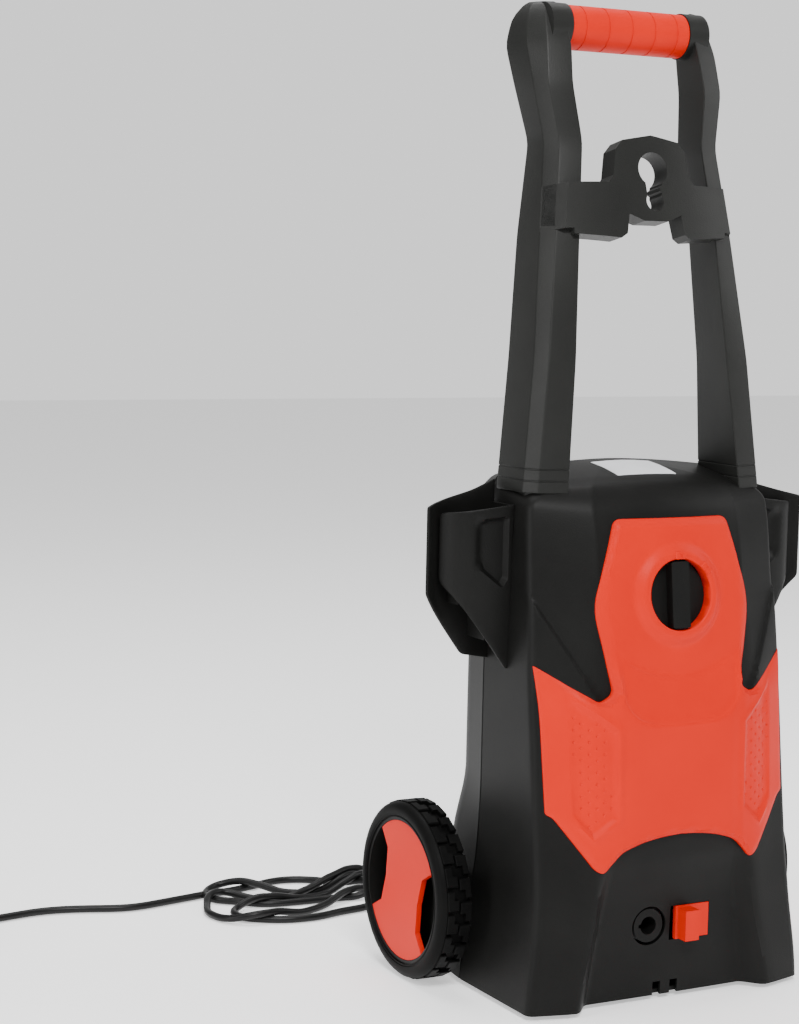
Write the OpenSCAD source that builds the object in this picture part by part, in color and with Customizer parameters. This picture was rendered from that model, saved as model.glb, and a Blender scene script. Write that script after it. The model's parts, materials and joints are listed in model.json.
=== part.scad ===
// Upright electric pressure washer: two-shell casing, push handle, two wheels, motor and axial-piston pump.
// Millimetres. Z is up, the front faces -Y, and the origin is on the floor under the middle of the machine.

/* [Casing] */
// Wall thickness of the moulded shells
wall = 3; // [2.5:0.5:4]
// Plane where the front and rear shells meet
seam_y = 10; // [8:1:12]
// Gap left round pieces that are set into a shell
fit_gap = 0.3; // [0.2:0.1:0.6]
// How far the red fascia stands proud of the casing
fascia_proud = 1.2; // [0.8:0.1:1.6]
// Depth of the seat that the fascia sits in
fascia_seat = 1.4; // [1:0.1:1.6]

/* [Wheels] */
// Outside radius of the tyre
wheel_r = 80.5; // [79:0.5:82]
// Width of the wheel
wheel_w = 32; // [30:1:33]
// Outer face of the wheel, from the middle of the machine
wheel_face_x = 189; // [188:1:191]
// Place of the axle from front to back
axle_y = 48; // [46:1:50]
// Radius of the steel axle
axle_r = 5; // [4:0.5:6]

/* [Handle] */
// Radius of the red grip sleeve
grip_r = 19.5; // [17:0.5:21]
// Half the length of the grip sleeve
grip_half = 61; // [58:1:63]
// Height of the middle of the grip
grip_z = 851; // [848:1:853]
// Place of the grip from front to back
grip_y = 17; // [15:1:19]

/* [Controls] */
// Radius of the rotary knob
knob_r = 30; // [28:0.5:30.5]
// Height of the knob
knob_z = 361; // [358:1:364]
// Lean of the knob's axis, in degrees
knob_tilt = 6.6; // [5:0.2:8]
// Height of the outlet socket and the latch
outlet_z = 68; // [64:1:72]
// Sideways place of the outlet socket
outlet_x = -19; // [-21:1:-17]
// Sideways place of the latch
latch_x = 26; // [25:1:28]

/* [Drive] */
// Gear module
gear_module = 1.5; // [1.5:0.1:1.6]
// Teeth on the motor's pinion
pinion_teeth = 9; // [9:1:10]
// Teeth on the drive gear
gear_teeth = 36; // [34:1:36]
// Radius of a pump piston
piston_r = 6; // [5:0.5:6.5]
// Radius of the circle that the pistons stand on
piston_circle = 20; // [19:0.5:21]

/* [Lead] */
// Diameter of the mains lead
lead_d = 7.4; // [7:0.1:8]

/* [Hidden] */
$fn = 64;

black = "#262625";
soft_black = "#3a3a38";
red = "#e25236";
steel = "silver";
copper = "#b87333";
brass = "#b5a642";
aluminium = "#b4b6b8";
far = 400;
// The parts are drawn from the handle's and casing's own reference; this sets the origin under their middle.
middle_y = 7;

module placed() {
    translate([0, -middle_y, 0]) children();
}

// ---------- casing sections ----------
// Right half of each level, from the middle of the front to the middle of the back.
BODY = [
    [[0, -117, 4], [100, -116, 4], [143, -105, 4], [146, 8, 4], [140, 60, 4], [120, 84, 4], [0, 84, 4]],
    [[0, -117, 16], [98, -116, 16], [142, -105, 16], [145, 8, 16], [139, 60, 16], [120, 84, 16], [0, 84, 16]],
    [[0, -116, 88], [82, -115, 88], [134, -101, 88], [136, 8, 88], [132, 62, 88], [114, 84, 88], [0, 84, 88]],
    [[0, -115, 128], [78, -113, 128], [132, -96, 128], [131, 8, 128], [126, 66, 128], [110, 84, 128], [0, 84, 128]],
    [[0, -111, 190], [79, -109, 190], [132, -88, 190], [129, 8, 190], [118, 60, 190], [100, 80, 190], [0, 80, 190]],
    [[0, -105, 274], [79, -103, 274], [132, -78, 274], [129, 8, 274], [118, 60, 274], [100, 79, 274], [0, 79, 274]],
    [[0, -97, 360], [75, -93, 355], [129, -65, 362], [128, 8, 362], [118, 56, 362], [98, 77, 362], [0, 77, 362]],
    [[0, -87, 430], [71, -80, 430], [126, -56, 434], [126, 8, 440], [116, 52, 436], [96, 73, 434], [0, 73, 436]],
    [[0, -70, 453], [64, -66, 452], [114, -52, 448], [119, 8, 458], [108, 44, 453], [88, 61, 450], [0, 63, 454]],
    [[0, -54, 460], [52, -50, 459], [92, -40, 456], [100, 8, 464], [88, 34, 462], [70, 46, 461], [0, 48, 464]]];
BODY_TOP = [0, 4, 470.5];
top_z = 440;

// Inner face of the casing: every point moves in by the wall, and the foot ring opens the underside.
function inset_z(z) = z > top_z ? z - wall : z < 5 ? z - 1 : z;
function inset(p) = [max(0, p[0] - wall), p[1] - sign(p[1] - 8) * wall, inset_z(p[2])];
BODY_INNER = [for (ring = BODY) [for (p = ring) inset(p)]];

// Whole ring from its right half.
function whole(half) = concat(half, [for (i = [len(half) - 2 : -1 : 1]) [-half[i][0], half[i][1], half[i][2]]]);

// Closed solid through a stack of rings, each counter-clockwise from above, with a point in each end cap.
module loft(rings, foot, head) {
    n = len(rings[0]);
    last = len(rings) - 1;
    pts = concat([for (ring = rings) for (p = ring) p], [foot, head]);
    c0 = len(pts) - 2;
    c1 = len(pts) - 1;
    sides = [for (k = [0 : last - 1]) for (i = [0 : n - 1]) let (j = (i + 1) % n)
        each [[k * n + i, (k + 1) * n + i, (k + 1) * n + j], [k * n + i, (k + 1) * n + j, k * n + j]]];
    caps = [for (i = [0 : n - 1]) let (j = (i + 1) % n)
        each [[c0, i, j], [c1, last * n + j, last * n + i]]];
    polyhedron(pts, concat(sides, caps), convexity = 6);
}

module body_solid() {
    loft([for (half = BODY) whole(half)], [0, 0, BODY[0][0][2]], BODY_TOP);
}

module body_hollow() {
    loft([for (half = BODY_INNER) whole(half)], [0, 0, BODY_INNER[0][0][2]], BODY_TOP - [0, 0, wall]);
}

// Outline in X and Z, given for x >= 0 and mirrored, cut along Y.
module front_prism(half, y0, y1) {
    pts = concat(half, [for (i = [len(half) - 1 : -1 : 0]) [-half[i][0], half[i][1]]]);
    translate([0, y1, 0]) rotate([90, 0, 0]) linear_extrude(y1 - y0) polygon(pts);
}

module along_y(y0, y1) {
    translate([0, y1, 0]) rotate([90, 0, 0]) linear_extrude(y1 - y0) children();
}

module box(lo, hi) {
    translate(lo) cube(hi - lo);
}

module ring(r_out, r_in, h) {
    difference() {
        cylinder(r = r_out, h = h);
        translate([0, 0, -1]) cylinder(r = r_in, h = h + 2);
    }
}

// ---------- controls' places ----------
knob_y = -107;
outlet_y = -102;
outlet_r = 15;
outlet_bore = 8;
latch_half_w = 17.5;
latch_half_h = 15;
latch_travel = 5;
pocket_y = -86;

// Places children on the knob's axis, with +Z pointing out of the panel at the front of its collar.
module at_knob() {
    translate([0, knob_y, knob_z]) rotate([90 - knob_tilt, 0, 0]) children();
}

module at_outlet(y) {
    translate([outlet_x, y, outlet_z]) rotate([90, 0, 0]) children();
}

// Sloping hollow in the lower front, round the outlet and the latch, grown by g on every side.
module front_recess(g) {
    hull() {
        box([-103 - g, -130, -1], [103 + g, -117.5, 0]);
        box([-82 - g, -130, -1], [82 + g, -99 + g, 0]);
        box([-70 - g, -130, 92], [70 + g, -102 + g, 93]);
        box([-62 - g, -130, 119], [62 + g, -116 + g, 120 + g]);
    }
}

FASCIA = [[0, 426], [52, 426], [59, 420], [81, 351], [67, 281], [72, 274], [80, 271], [129, 302], [126, 262],
    [124, 176], [118, 173], [84, 128], [77, 124], [71, 130], [62, 142], [45, 148], [20, 152], [0, 153]];

// The seat is a little larger than the fascia, also between its two lower lobes.
function seat_x(p) = p[0] == 0 ? 0 : p[1] < 160 && p[0] < 77 ? p[0] - 0.4 : p[0] + 0.4;
FASCIA_SEAT = [for (p = FASCIA) [seat_x(p), p[1] + (p[1] > 250 ? 0.4 : -0.4)]];

// Layer of the casing's front, from `out` in front of its surface to `depth` behind it.
module front_skin(out, depth) {
    difference() {
        translate([0, -out, 0]) body_solid();
        translate([0, depth, 0]) body_solid();
    }
}

// ---------- handle sections ----------
// Right arm: height, then the section from its inner front corner, counter-clockwise from above.
ARM = [
    [400, [[92, -58], [114, -50], [121, -40], [121, 2], [92, 2]]],
    [446, [[92, -58], [114, -50], [121, -40], [121, 2], [92, 2]]],
    [447, [[90, -62], [116, -54], [125, -42], [125, 4], [90, 3]]],
    [562, [[79, -51], [104, -47], [112, -34], [111, 13], [85, 5]]],
    [669, [[71, -38], [92, -32], [100, -18], [99, 24], [77, 12]]],
    [750, [[62, -24], [82, -18], [90, -4], [88, 28], [68, 22]]],
    [800, [[69, -17], [91, -11], [98, 3], [97, 39], [72, 29]]],
    [835, [[66, -8], [88, -3], [100, 13], [103, 46], [72, 36]]],
    [860, [[67, 4], [84, 8], [95, 22], [98, 44], [72, 37]]],
    [872, [[69, 12], [80, 15], [87, 24], [88, 36], [72, 32]]]];

module right_arm_solid(g) {
    rings = [for (s = ARM) let (c = [(s[1][0][0] + s[1][2][0]) / 2, (s[1][1][1] + s[1][3][1]) / 2])
        [for (p = s[1]) [p[0] + g * sign(p[0] - c[0]), p[1] + g * sign(p[1] - c[1]), s[0] + (s[0] == 447 ? -g : 0)]]];
    loft(rings, [106, -24, 400 - g], [81, 22, 872 + g]);
}

module both_sides() {
    children();
    mirror([1, 0, 0]) children();
}

// ---------- screws ----------
SHELL_SCREWS = [[98, 84, 40], [94, 82, 190], [90, 79, 330]];
ARM_SCREW = [106, 40, 424];
screw_r = 2;
screw_head_r = 4;

// Screw along -Y with its head at y = 0.
module screw(length) {
    rotate([90, 0, 0]) {
        cylinder(r = screw_r, h = length);
        difference() {
            cylinder(r = screw_head_r, h = 2.6);
            for (a = [0, 90]) rotate([0, 0, a]) box([-2.6, -0.5, -1], [2.6, 0.5, 1.4]);
        }
    }
}

// ---------- casing ----------
module shell_wall() {
    difference() {
        body_solid();
        difference() {
            body_hollow();
            front_recess(wall);
        }
        front_recess(0);
    }
}

module latch_window(y0, y1) {
    box([latch_x - latch_half_w - latch_travel - 0.6, y0, outlet_z - latch_half_h - 0.6],
        [latch_x + latch_half_w + 0.6, y1, outlet_z + latch_half_h + 0.6]);
}

// Closed pocket behind the latch's window, which the latch slides in.
module latch_pocket() {
    difference() {
        box([latch_x - latch_half_w - latch_travel - 2.6, -100, outlet_z - latch_half_h - 2.6],
            [latch_x + latch_half_w + 2.6, pocket_y, outlet_z + latch_half_h + 2.6]);
        latch_window(-125, pocket_y - 2);
    }
}

module front_shell() {
    color(black) {
        difference() {
            shell_wall();
            box([-far, seam_y, -1], [far, far, 500]);
            intersection() {
                front_prism(FASCIA_SEAT, -140, -30);
                front_skin(0.5, fascia_seat);
            }
            at_knob() translate([0, 0, -50]) cylinder(r = 36, h = 60);
            at_outlet(-85) cylinder(r = 17.5, h = 40);
            latch_window(-125, -90);
            for (x = [-12, 6]) box([x, -120, -1], [x + 8, -85, 16]);
            both_sides() right_arm_solid(fit_gap);
        }
        latch_pocket();
        both_sides() front_foot();
        for (s = SHELL_SCREWS) both_sides() screw_boss(s);
    }
}

// Boss that a shell screw bites in, with the web that joins it to the side wall.
module screw_boss(s) {
    difference() {
        union() {
            translate([s[0], seam_y, s[2]]) rotate([90, 0, 0]) cylinder(r = 5, h = 18);
            intersection() {
                box([s[0], -8, s[2] - 1.5], [150, seam_y, s[2] + 1.5]);
                body_solid();
            }
        }
        translate([s[0], seam_y + 1, s[2]]) rotate([90, 0, 0]) cylinder(r = screw_r + 0.1, h = 16);
    }
}

module front_foot() {
    linear_extrude(4.3) polygon([[86, -100], [104, -115], [142, -104.5], [144, -60], [96, -60]]);
}

vent_rows = 7;
vent_pitch = 12;
vent_z = 230;
vent_w = 46;
boss_end_x = wheel_face_x - wheel_w - 2;

module rear_shell() {
    color(black) difference() {
        union() {
            difference() {
                shell_wall();
                box([-far, -far, -1], [far, seam_y, 500]);
            }
            both_sides() translate([126, axle_y, wheel_r]) rotate([0, 90, 0]) cylinder(r = 13, h = boss_end_x - 126);
            for (s = SHELL_SCREWS) both_sides() translate([s[0], s[1] - 1, s[2]]) rotate([90, 0, 0])
                cylinder(r = 7, h = s[1] - 1 - seam_y);
            both_sides() intersection() {
                translate([ARM_SCREW[0], 80, ARM_SCREW[2]]) rotate([90, 0, 0]) cylinder(r = 7, h = 60);
                body_solid();
            }
        }
        translate([-far, axle_y, wheel_r]) rotate([0, 90, 0]) cylinder(r = axle_r, h = 2 * far);
        for (s = SHELL_SCREWS) both_sides() translate([s[0], s[1] + 2, s[2]]) rotate([90, 0, 0]) {
            cylinder(r = screw_r + 0.1, h = 90);
            cylinder(r = screw_head_r + 1, h = s[1] - 28);
        }
        both_sides() translate([ARM_SCREW[0], 90, ARM_SCREW[2]]) rotate([90, 0, 0]) {
            cylinder(r = screw_r + 0.1, h = 90);
            cylinder(r = screw_head_r + 1, h = 90 - ARM_SCREW[1]);
        }
        for (row = [0 : vent_rows - 1], side = [-1, 1]) translate([side * 34, 60, vent_z + row * vent_pitch])
            box([-vent_w / 2, 0, 0], [vent_w / 2, 40, 5]);
        translate([inlet_x, 50, inlet_z]) rotate([-90, 0, 0]) cylinder(r = 11.2, h = 60);
        translate([gland_x, 50, gland_z]) rotate([-90, 0, 0]) cylinder(r = 8.2, h = 60);
    }
}

module base_plate() {
    outline = [for (p = whole(BODY_INNER[1])) [p[0] - 0.6 * sign(p[0]), p[1] - 0.6 * sign(p[1])]];
    color(black) difference() {
        translate([0, 0, 4.6]) linear_extrude(3.4) polygon(outline);
        front_recess(wall + 0.4);
        for (x = [-60 : 12 : 60]) box([x - 3, -60, 0], [x + 3, 20, 10]);
        for (s = SHELL_SCREWS) both_sides() translate([s[0], 100, s[2]]) rotate([90, 0, 0]) cylinder(r = 8, h = 120);
    }
}

module front_fascia() {
    color(red) difference() {
        union() {
            intersection() {
                front_prism(FASCIA, -140, -30);
                front_skin(fascia_proud, fascia_seat - 0.2);
            }
            at_knob() translate([0, 0, -14]) cylinder(r = 40, h = 10);
            at_knob() translate([0, 0, -4]) cylinder(r1 = 40, r2 = 36, h = 4);
        }
        at_knob() translate([0, 0, -50]) cylinder(r = knob_r + 0.8, h = 60);
        difference() {
            translate([0, fascia_seat - 0.2, 0]) body_solid();
            at_knob() translate([0, 0, -15]) cylinder(r = 35.6, h = 30);
        }
    }
}

module rating_label() {
    color("gainsboro") multmatrix([[1, 0, 0, 0], [0, 1, 0, 0], [0, 0.18, 1, 0], [0, 0, 0, 1]])
        box([-32, -50, 469.9], [30, -4, 470.3]);
}

// Side hook: a curved front wall, a back plate that stands further out, and two ribs between them.
HOOK_WALL = [[127, -34], [150, -32], [168, -27], [180, -19], [187, -8], [187, -5], [184, -5], [177, -16],
    [166, -24], [149, -29], [127, -31]];
HOOK_FRONT = [[127, 436], [187, 428], [187, 366], [132, 292], [127, 292]];
HOOK_BACK = [[127, 456], [150, 446], [201, 433], [201, 357], [158, 301], [127, 296]];
HOOK_PLATE = [[127, 0], [176, 0], [189, -4], [198, -11], [200, -9], [191, -1], [177, 3], [127, 3]];

module right_hook_solid() {
    difference() {
        hook_plates();
        translate([0.3, 0, 0]) body_solid();
    }
}

module hook_plates() {
    intersection() {
        translate([0, 0, 280]) linear_extrude(180) polygon(HOOK_WALL);
        along_y(-60, 20) polygon(HOOK_FRONT);
    }
    intersection() {
        translate([0, 0, 280]) linear_extrude(180) polygon(HOOK_PLATE);
        along_y(-60, 20) polygon(HOOK_BACK);
    }
    intersection() {
        for (x = [150, 172]) box([x, -30, 280], [x + 2, 1, 480]);
        along_y(-60, 20) polygon(HOOK_FRONT);
        translate([0, 0, 280]) linear_extrude(180)
            polygon([[127, -31], [149, -29], [166, -24], [177, -16], [184, -5], [184, 1], [127, 1]]);
    }
    box([126, -33, 296], [131.5, 2, 436]);
}

module right_side_hook() {
    color(black) right_hook_solid();
}

module left_side_hook() {
    color(black) mirror([1, 0, 0]) right_hook_solid();
}

module shell_screws() {
    color(steel) for (s = SHELL_SCREWS) both_sides() translate([s[0], 32.8, s[2]]) screw(36);
}

// ---------- handle ----------
module right_arm() {
    color(soft_black) difference() {
        right_arm_solid(0);
        arm_cuts();
    }
}

module left_arm() {
    color(soft_black) mirror([1, 0, 0]) difference() {
        right_arm_solid(0);
        arm_cuts();
    }
}

// Hole for the screw at the foot, and the seats of the bracket and the cross bar.
module arm_cuts() {
    translate([ARM_SCREW[0], 10, ARM_SCREW[2]]) rotate([90, 0, 0]) cylinder(r = screw_r + 0.1, h = 28);
    bracket_bar();
    translate([0, grip_y, grip_z]) rotate([0, 90, 0]) cylinder(r = 20.5, h = 82);
    translate(BRACKET_SCREW + [0, 40, 0]) rotate([90, 0, 0]) cylinder(r = screw_r + 0.1, h = 60);
    translate(BRACKET_SCREW + [0, 60, 0]) rotate([90, 0, 0]) cylinder(r = screw_head_r + 0.4, h = 54.8);
}

bar_r = 13;

module cross_bar() {
    color(soft_black) translate([0, grip_y, grip_z]) rotate([0, 90, 0]) {
        translate([0, 0, -grip_half - 1]) cylinder(r = bar_r, h = 2 * grip_half + 2);
        for (side = [0, 1]) mirror([0, 0, side]) translate([0, 0, grip_half + 0.4]) cylinder(r = 20.5, h = 82 - grip_half - 0.4);
    }
}

module grip_sleeve() {
    color(red) translate([0, grip_y, grip_z]) rotate([0, 90, 0]) difference() {
        translate([0, 0, -grip_half]) cylinder(r = grip_r, h = 2 * grip_half);
        translate([0, 0, -grip_half - 1]) cylinder(r = bar_r, h = 2 * grip_half + 2);
        for (i = [-2 : 2]) translate([0, 0, i * 24 - 0.8]) ring(grip_r + 1, grip_r - 0.6, 1.6);
    }
}

bracket_bow = 325;
bracket_front = -43.5;
bracket_lean = 10.6;
bracket_z = 716;
bracket_t = 20;
BRACKET_SCREW = [84, -14, 697];
// Outline across the front; the ends are cut flush with the chamfers of the arms.
BRACKET_PLAN = [[0, -102], [52, -102], [92, -32], [100, -18], [99, 30], [0, 30]];
BRACKET_END_SLOPE = (ARM[5][1][1] - ARM[4][1][1]) / (ARM[5][0] - ARM[4][0]);
BRACKET = [[104, 716], [44, 716], [40, 722], [36, 745], [29, 753], [0, 758], [-29, 753], [-36, 745], [-40, 722],
    [-44, 716], [-104, 716], [-104, 676], [-79, 676], [-79, 671], [-36, 667], [-30, 671], [-27, 688], [-12, 682],
    [12, 682], [27, 688], [30, 671], [36, 667], [79, 671], [79, 676], [104, 676]];
BRACKET_POCKET = [[60, 711], [38, 711], [31, 742], [24, 747], [-24, 747], [-31, 742], [-38, 711], [-60, 711],
    [-60, 680], [-27, 692], [27, 692], [60, 680]];
KEY_NIB = [[12, 704], [6, 709], [6, 712], [13, 718]];

// Moves a shape drawn upright, with its front at y = 0, to the leaning plane of the bracket.
module bracket_plane() {
    translate([0, bracket_front, bracket_z]) rotate([-bracket_lean, 0, 0]) translate([0, 0, -bracket_z]) children();
}

module bracket_shell(depth) {
    difference() {
        translate([0, bracket_bow, 600]) cylinder(r = bracket_bow, h = 200, $fn = 200);
        translate([0, bracket_bow + depth, 599]) cylinder(r = bracket_bow, h = 202, $fn = 200);
    }
}

module bracket_bar() {
    bracket_plane() intersection() {
        along_y(-40, 60) polygon(BRACKET);
        bracket_shell(bracket_t);
    }
}

// Bracket across the arms, leaning back with them and bowed forwards.
module lance_bracket_solid() {
    intersection() {
        bracket_bar();
        both_sides() multmatrix([[1, 0, BRACKET_END_SLOPE[0], 0], [0, 1, BRACKET_END_SLOPE[1], 0],
            [0, 0, 1, ARM[4][0]], [0, 0, 0, 1]])
            translate([0, 0, -60]) linear_extrude(180) polygon(BRACKET_PLAN);
    }
}

module keyhole(grow) {
    translate([0, 728]) circle(r = 15 + grow);
    translate([0, 700]) circle(r = 9 + grow);
    polygon([[-7 - grow, 700], [7 + grow, 700], [9 + grow, 718], [-9 - grow, 718]]);
}

module lance_bracket() {
    color(soft_black) difference() {
        lance_bracket_solid();
        bracket_plane() {
            intersection() {
                along_y(-40, 60) difference() {
                    polygon(BRACKET_POCKET);
                    keyhole(3);
                }
                translate([0, bracket_bow + 4, 599]) cylinder(r = bracket_bow, h = 202, $fn = 200);
            }
            along_y(-40, 60) difference() {
                keyhole(0);
                polygon(KEY_NIB);
            }
        }
        both_sides() translate(BRACKET_SCREW + [0, 40, 0]) rotate([90, 0, 0]) cylinder(r = screw_r + 0.1, h = 56);
    }
}

module handle_screws() {
    color(steel) both_sides() {
        translate(ARM_SCREW + [0, 2.8, 0]) screw(52);
        translate(BRACKET_SCREW + [0, 8, 0]) screw(22);
    }
}

// ---------- wheels ----------
rim_r = 66;
wheel_in_x = wheel_face_x - wheel_w;
axle_end_x = wheel_face_x - 8.4;
hub_r = 14;
hub_h = wheel_w - 12;
web_z = 10;
cover_z = wheel_w - 7.4;
running = 0.05;

module axle() {
    color(steel) translate([-axle_end_x, axle_y, wheel_r]) rotate([0, 90, 0]) cylinder(r = axle_r, h = 2 * axle_end_x);
}

module axle_clips() {
    color(steel) both_sides() translate([wheel_face_x - 11, axle_y, wheel_r]) rotate([0, 90, 0]) ring(9, axle_r, 1.6);
}

// Wheel parts stand on the axle with +Z pointing out; z = 0 is the inner face.
module at_right_wheel() {
    translate([wheel_in_x, axle_y, wheel_r]) rotate([0, 90, 0]) children();
}

module rim_solid() {
    difference() {
        union() {
            translate([0, 0, 0.5]) ring(rim_r, rim_r - 3, wheel_w - 2.5);
            translate([0, 0, web_z]) cylinder(r = rim_r - 1, h = 3);
            translate([0, 0, 0.5]) cylinder(r = hub_r, h = hub_h);
            for (a = [0 : 60 : 300]) rotate([0, 0, a]) box([hub_r - 1, -1.5, 2], [rim_r - 1, 1.5, web_z + 1]);
            for (a = [70, 110, 250, 290]) rotate([0, 0, a + notch_lean + 90]) translate([42, 0, web_z + 2])
                cylinder(r = 4, h = cover_z - web_z - 2);
        }
        translate([0, 0, -1]) cylinder(r = axle_r + running, h = wheel_w);
    }
}

module tyre_solid() {
    rotate_extrude() polygon([[rim_r, 0], [wheel_r - 6, 0], [wheel_r - 1, 3], [wheel_r, 6], [wheel_r, wheel_w - 7],
        [wheel_r - 3, wheel_w - 2], [wheel_r - 8, wheel_w], [rim_r, wheel_w]]);
}

notch_lean = 12;

module hub_cover_solid() {
    translate([0, 0, cover_z]) linear_extrude(5) difference() {
        circle(r = rim_r - 3.4);
        for (a = [0, 180]) rotate(a + notch_lean + 90)
            polygon([[52, -42], [34, -26], [31, 0], [34, 26], [52, 42], [80, 42], [80, -42]]);
    }
}

module left_rim() {
    color(black) mirror([1, 0, 0]) at_right_wheel() rim_solid();
}

module right_rim() {
    color(black) at_right_wheel() rim_solid();
}

module left_tyre() {
    color(black) mirror([1, 0, 0]) at_right_wheel() tyre_solid();
}

module right_tyre() {
    color(black) at_right_wheel() tyre_solid();
}

module left_hub_cover() {
    color(red) mirror([1, 0, 0]) at_right_wheel() hub_cover_solid();
}

module right_hub_cover() {
    color(red) at_right_wheel() hub_cover_solid();
}

// ---------- controls ----------
module knob() {
    color(black) at_knob() {
        translate([0, 0, -16]) cylinder(r = knob_r, h = 6);
        difference() {
            translate([-9, -knob_r + 1, -11]) cube([18, 2 * knob_r - 2, 10]);
            difference() {
                translate([0, 0, -12]) cylinder(r = knob_r + 20, h = 14);
                translate([0, 0, -13]) cylinder(r = knob_r - 0.5, h = 16);
            }
        }
        translate([0, 0, -36]) cylinder(r = 4, h = 21);
    }
}

module switch_body() {
    color("#444") at_knob() difference() {
        union() {
            translate([-24, -24, -62]) cube([48, 48, 42]);
            translate([0, 0, -22]) cylinder(r = 35, h = 2.6);
        }
        translate([0, 0, -38]) cylinder(r = 4 + running, h = 20);
    }
    color(brass) at_knob() for (x = [-15 : 10 : 15]) translate([x - 2, -3, -70]) cube([4, 1, 8]);
}

module hose_latch() {
    y = outlet_y;
    color(red) {
        box([latch_x - latch_half_w, y, outlet_z - latch_half_h], [latch_x + latch_half_w, y + 4, outlet_z + latch_half_h]);
        box([latch_x - latch_half_w + 2, y - 13, outlet_z - latch_half_h + 1],
            [latch_x - 1, y + 1, outlet_z + latch_half_h - 2]);
        for (z = [-11, 8]) box([latch_x - 12, y + 3, outlet_z + z], [latch_x + 12, y + 12, outlet_z + z + 3]);
    }
}

module outlet_socket() {
    color(black) at_outlet(-68) difference() {
        cylinder(r = outlet_r, h = -outlet_y - 70);
        translate([0, 0, 6]) cylinder(r = outlet_bore, h = 40);
        translate([0, 0, 9]) rotate_extrude() polygon([[7, 0], [outlet_bore + 2, 0], [outlet_bore + 2, 3], [7, 3]]);
        translate([0, 0, -1]) cylinder(r = 4, h = 10);
        box([-outlet_bore - 2, -1.6, 26], [-outlet_bore + 1, 1.6, 40]);
    }
}

module outlet_o_ring() {
    color(black) at_outlet(-78.5) rotate_extrude() translate([outlet_bore + 0.6, 0]) circle(r = 1.3);
}

module outlet_pipe() {
    color(brass) at_outlet(-46) ring(6, 4, 22);
}

// ---------- water inlet ----------
inlet_x = 30;
inlet_z = 58;
inlet_thread_r = 13.2;

module inlet_nipple() {
    color(black) translate([inlet_x, 0, inlet_z]) rotate([-90, 0, 0]) difference() {
        union() {
            translate([0, 0, 66]) cylinder(r = 10.8, h = 20);
            translate([0, 0, 84.4]) cylinder(r = 17, h = 4);
            translate([0, 0, 88]) cylinder(r = inlet_thread_r, h = 16);
        }
        translate([0, 0, 60]) cylinder(r = 8, h = 60);
    }
}

module inlet_pipe() {
    color(brass) translate([inlet_x - 8, 0, inlet_z]) rotate([-90, 0, 0]) translate([0, 0, 10]) {
        ring(6, 4.5, 56);
    }
}

// ---------- motor ----------
motor_y = 14;
pump_y = motor_y - gear_module * (pinion_teeth + gear_teeth) / 2;
core_z = 205;
core_h = 60;
can_r = 46;
field_in = 28;
field_out = 38;
shaft_r = 4;
bearing_r = 11;

module at_motor(z) {
    translate([0, motor_y, z]) children();
}

module at_pump(z) {
    translate([0, pump_y, z]) children();
}

module field_segments(z, h) {
    at_motor(z) intersection() {
        ring(field_out, field_in, h);
        box([-50, -24, -1], [50, 24, h + 1]);
    }
}

module motor_can() {
    color(steel) at_motor(186) difference() {
        union() {
            cylinder(r = can_r, h = 120);
            translate([0, 0, 119]) cylinder(r = bearing_r + 3, h = 5);
        }
        translate([0, 0, -1]) cylinder(r = can_r - 3, h = 117);
        translate([0, 0, 110]) cylinder(r = bearing_r, h = 20);
        for (a = [0 : 45 : 315]) rotate([0, 0, a]) box([24, -6, 110], [38, 6, 130]);
    }
}

module stator_core() {
    color("dimgray") difference() {
        at_motor(core_z) ring(can_r - 3, 23.6, core_h);
        field_segments(core_z - 1, core_h + 2);
    }
}

module field_windings() {
    color(copper) field_segments(core_z - 11, core_h + 22);
}

module armature_core() {
    color("dimgray") at_motor(core_z) difference() {
        ring(23, shaft_r, core_h);
        for (a = [0 : 30 : 330]) rotate([0, 0, a]) box([14, -1.6, -1], [24, 1.6, core_h + 1]);
    }
}

module armature_windings() {
    color(copper) {
        at_motor(core_z - 9) ring(20, shaft_r, 9);
        at_motor(core_z + core_h) ring(20, shaft_r, 9);
    }
}

module commutator() {
    color(copper) at_motor(core_z + core_h + 12) difference() {
        ring(11, shaft_r, 14);
        for (a = [0 : 15 : 345]) rotate([0, 0, a]) box([10, -0.3, -1], [12, 0.3, 15]);
    }
}

// Spur gear with straight-flanked teeth, slim enough to run with a little backlash.
module gear(teeth, h, turn) {
    pitch_r = gear_module * teeth / 2;
    root_r = pitch_r - 1.25 * gear_module;
    tip_r = pitch_r + 0.85 * gear_module;
    base = 360 / teeth * 0.27;
    tip = 360 / teeth * 0.11;
    linear_extrude(h) rotate(turn) union() {
        circle(r = root_r);
        for (i = [0 : teeth - 1]) rotate(i * 360 / teeth)
            polygon([(root_r - 0.5) * [cos(base), -sin(base)], tip_r * [cos(tip), -sin(tip)],
                tip_r * [cos(tip), sin(tip)], (root_r - 0.5) * [cos(base), sin(base)]]);
    }
}

module motor_shaft() {
    color(steel) at_motor(0) {
        translate([0, 0, 158]) gear(pinion_teeth, 14, -90);
        translate([0, 0, 171]) cylinder(r = shaft_r, h = 157);
    }
}

module cooling_fan() {
    color(black) at_motor(313) {
        ring(8, shaft_r, 13);
        difference() {
            ring(38, 7.5, 2);
            for (a = [0 : 60 : 300]) rotate([0, 0, a]) translate([22, 0, -1]) cylinder(r = 3, h = 5);
        }
        for (a = [15 : 30 : 345]) rotate([0, 0, a]) box([12, -1, 1], [37, 1, 12]);
    }
}

module motor_bearings() {
    color(steel) for (z = [178.4, 302.6]) at_motor(z) ring(bearing_r, shaft_r + running, 7);
}

module brush_holders() {
    color(brass) at_motor(core_z + core_h + 13) for (a = [90, 270]) rotate([0, 0, a])
        box([11.4, -4, 0], [can_r - 3.5, 4, 11]);
}

// ---------- pump ----------
case_r = 34;
gear_z = 160;

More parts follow.
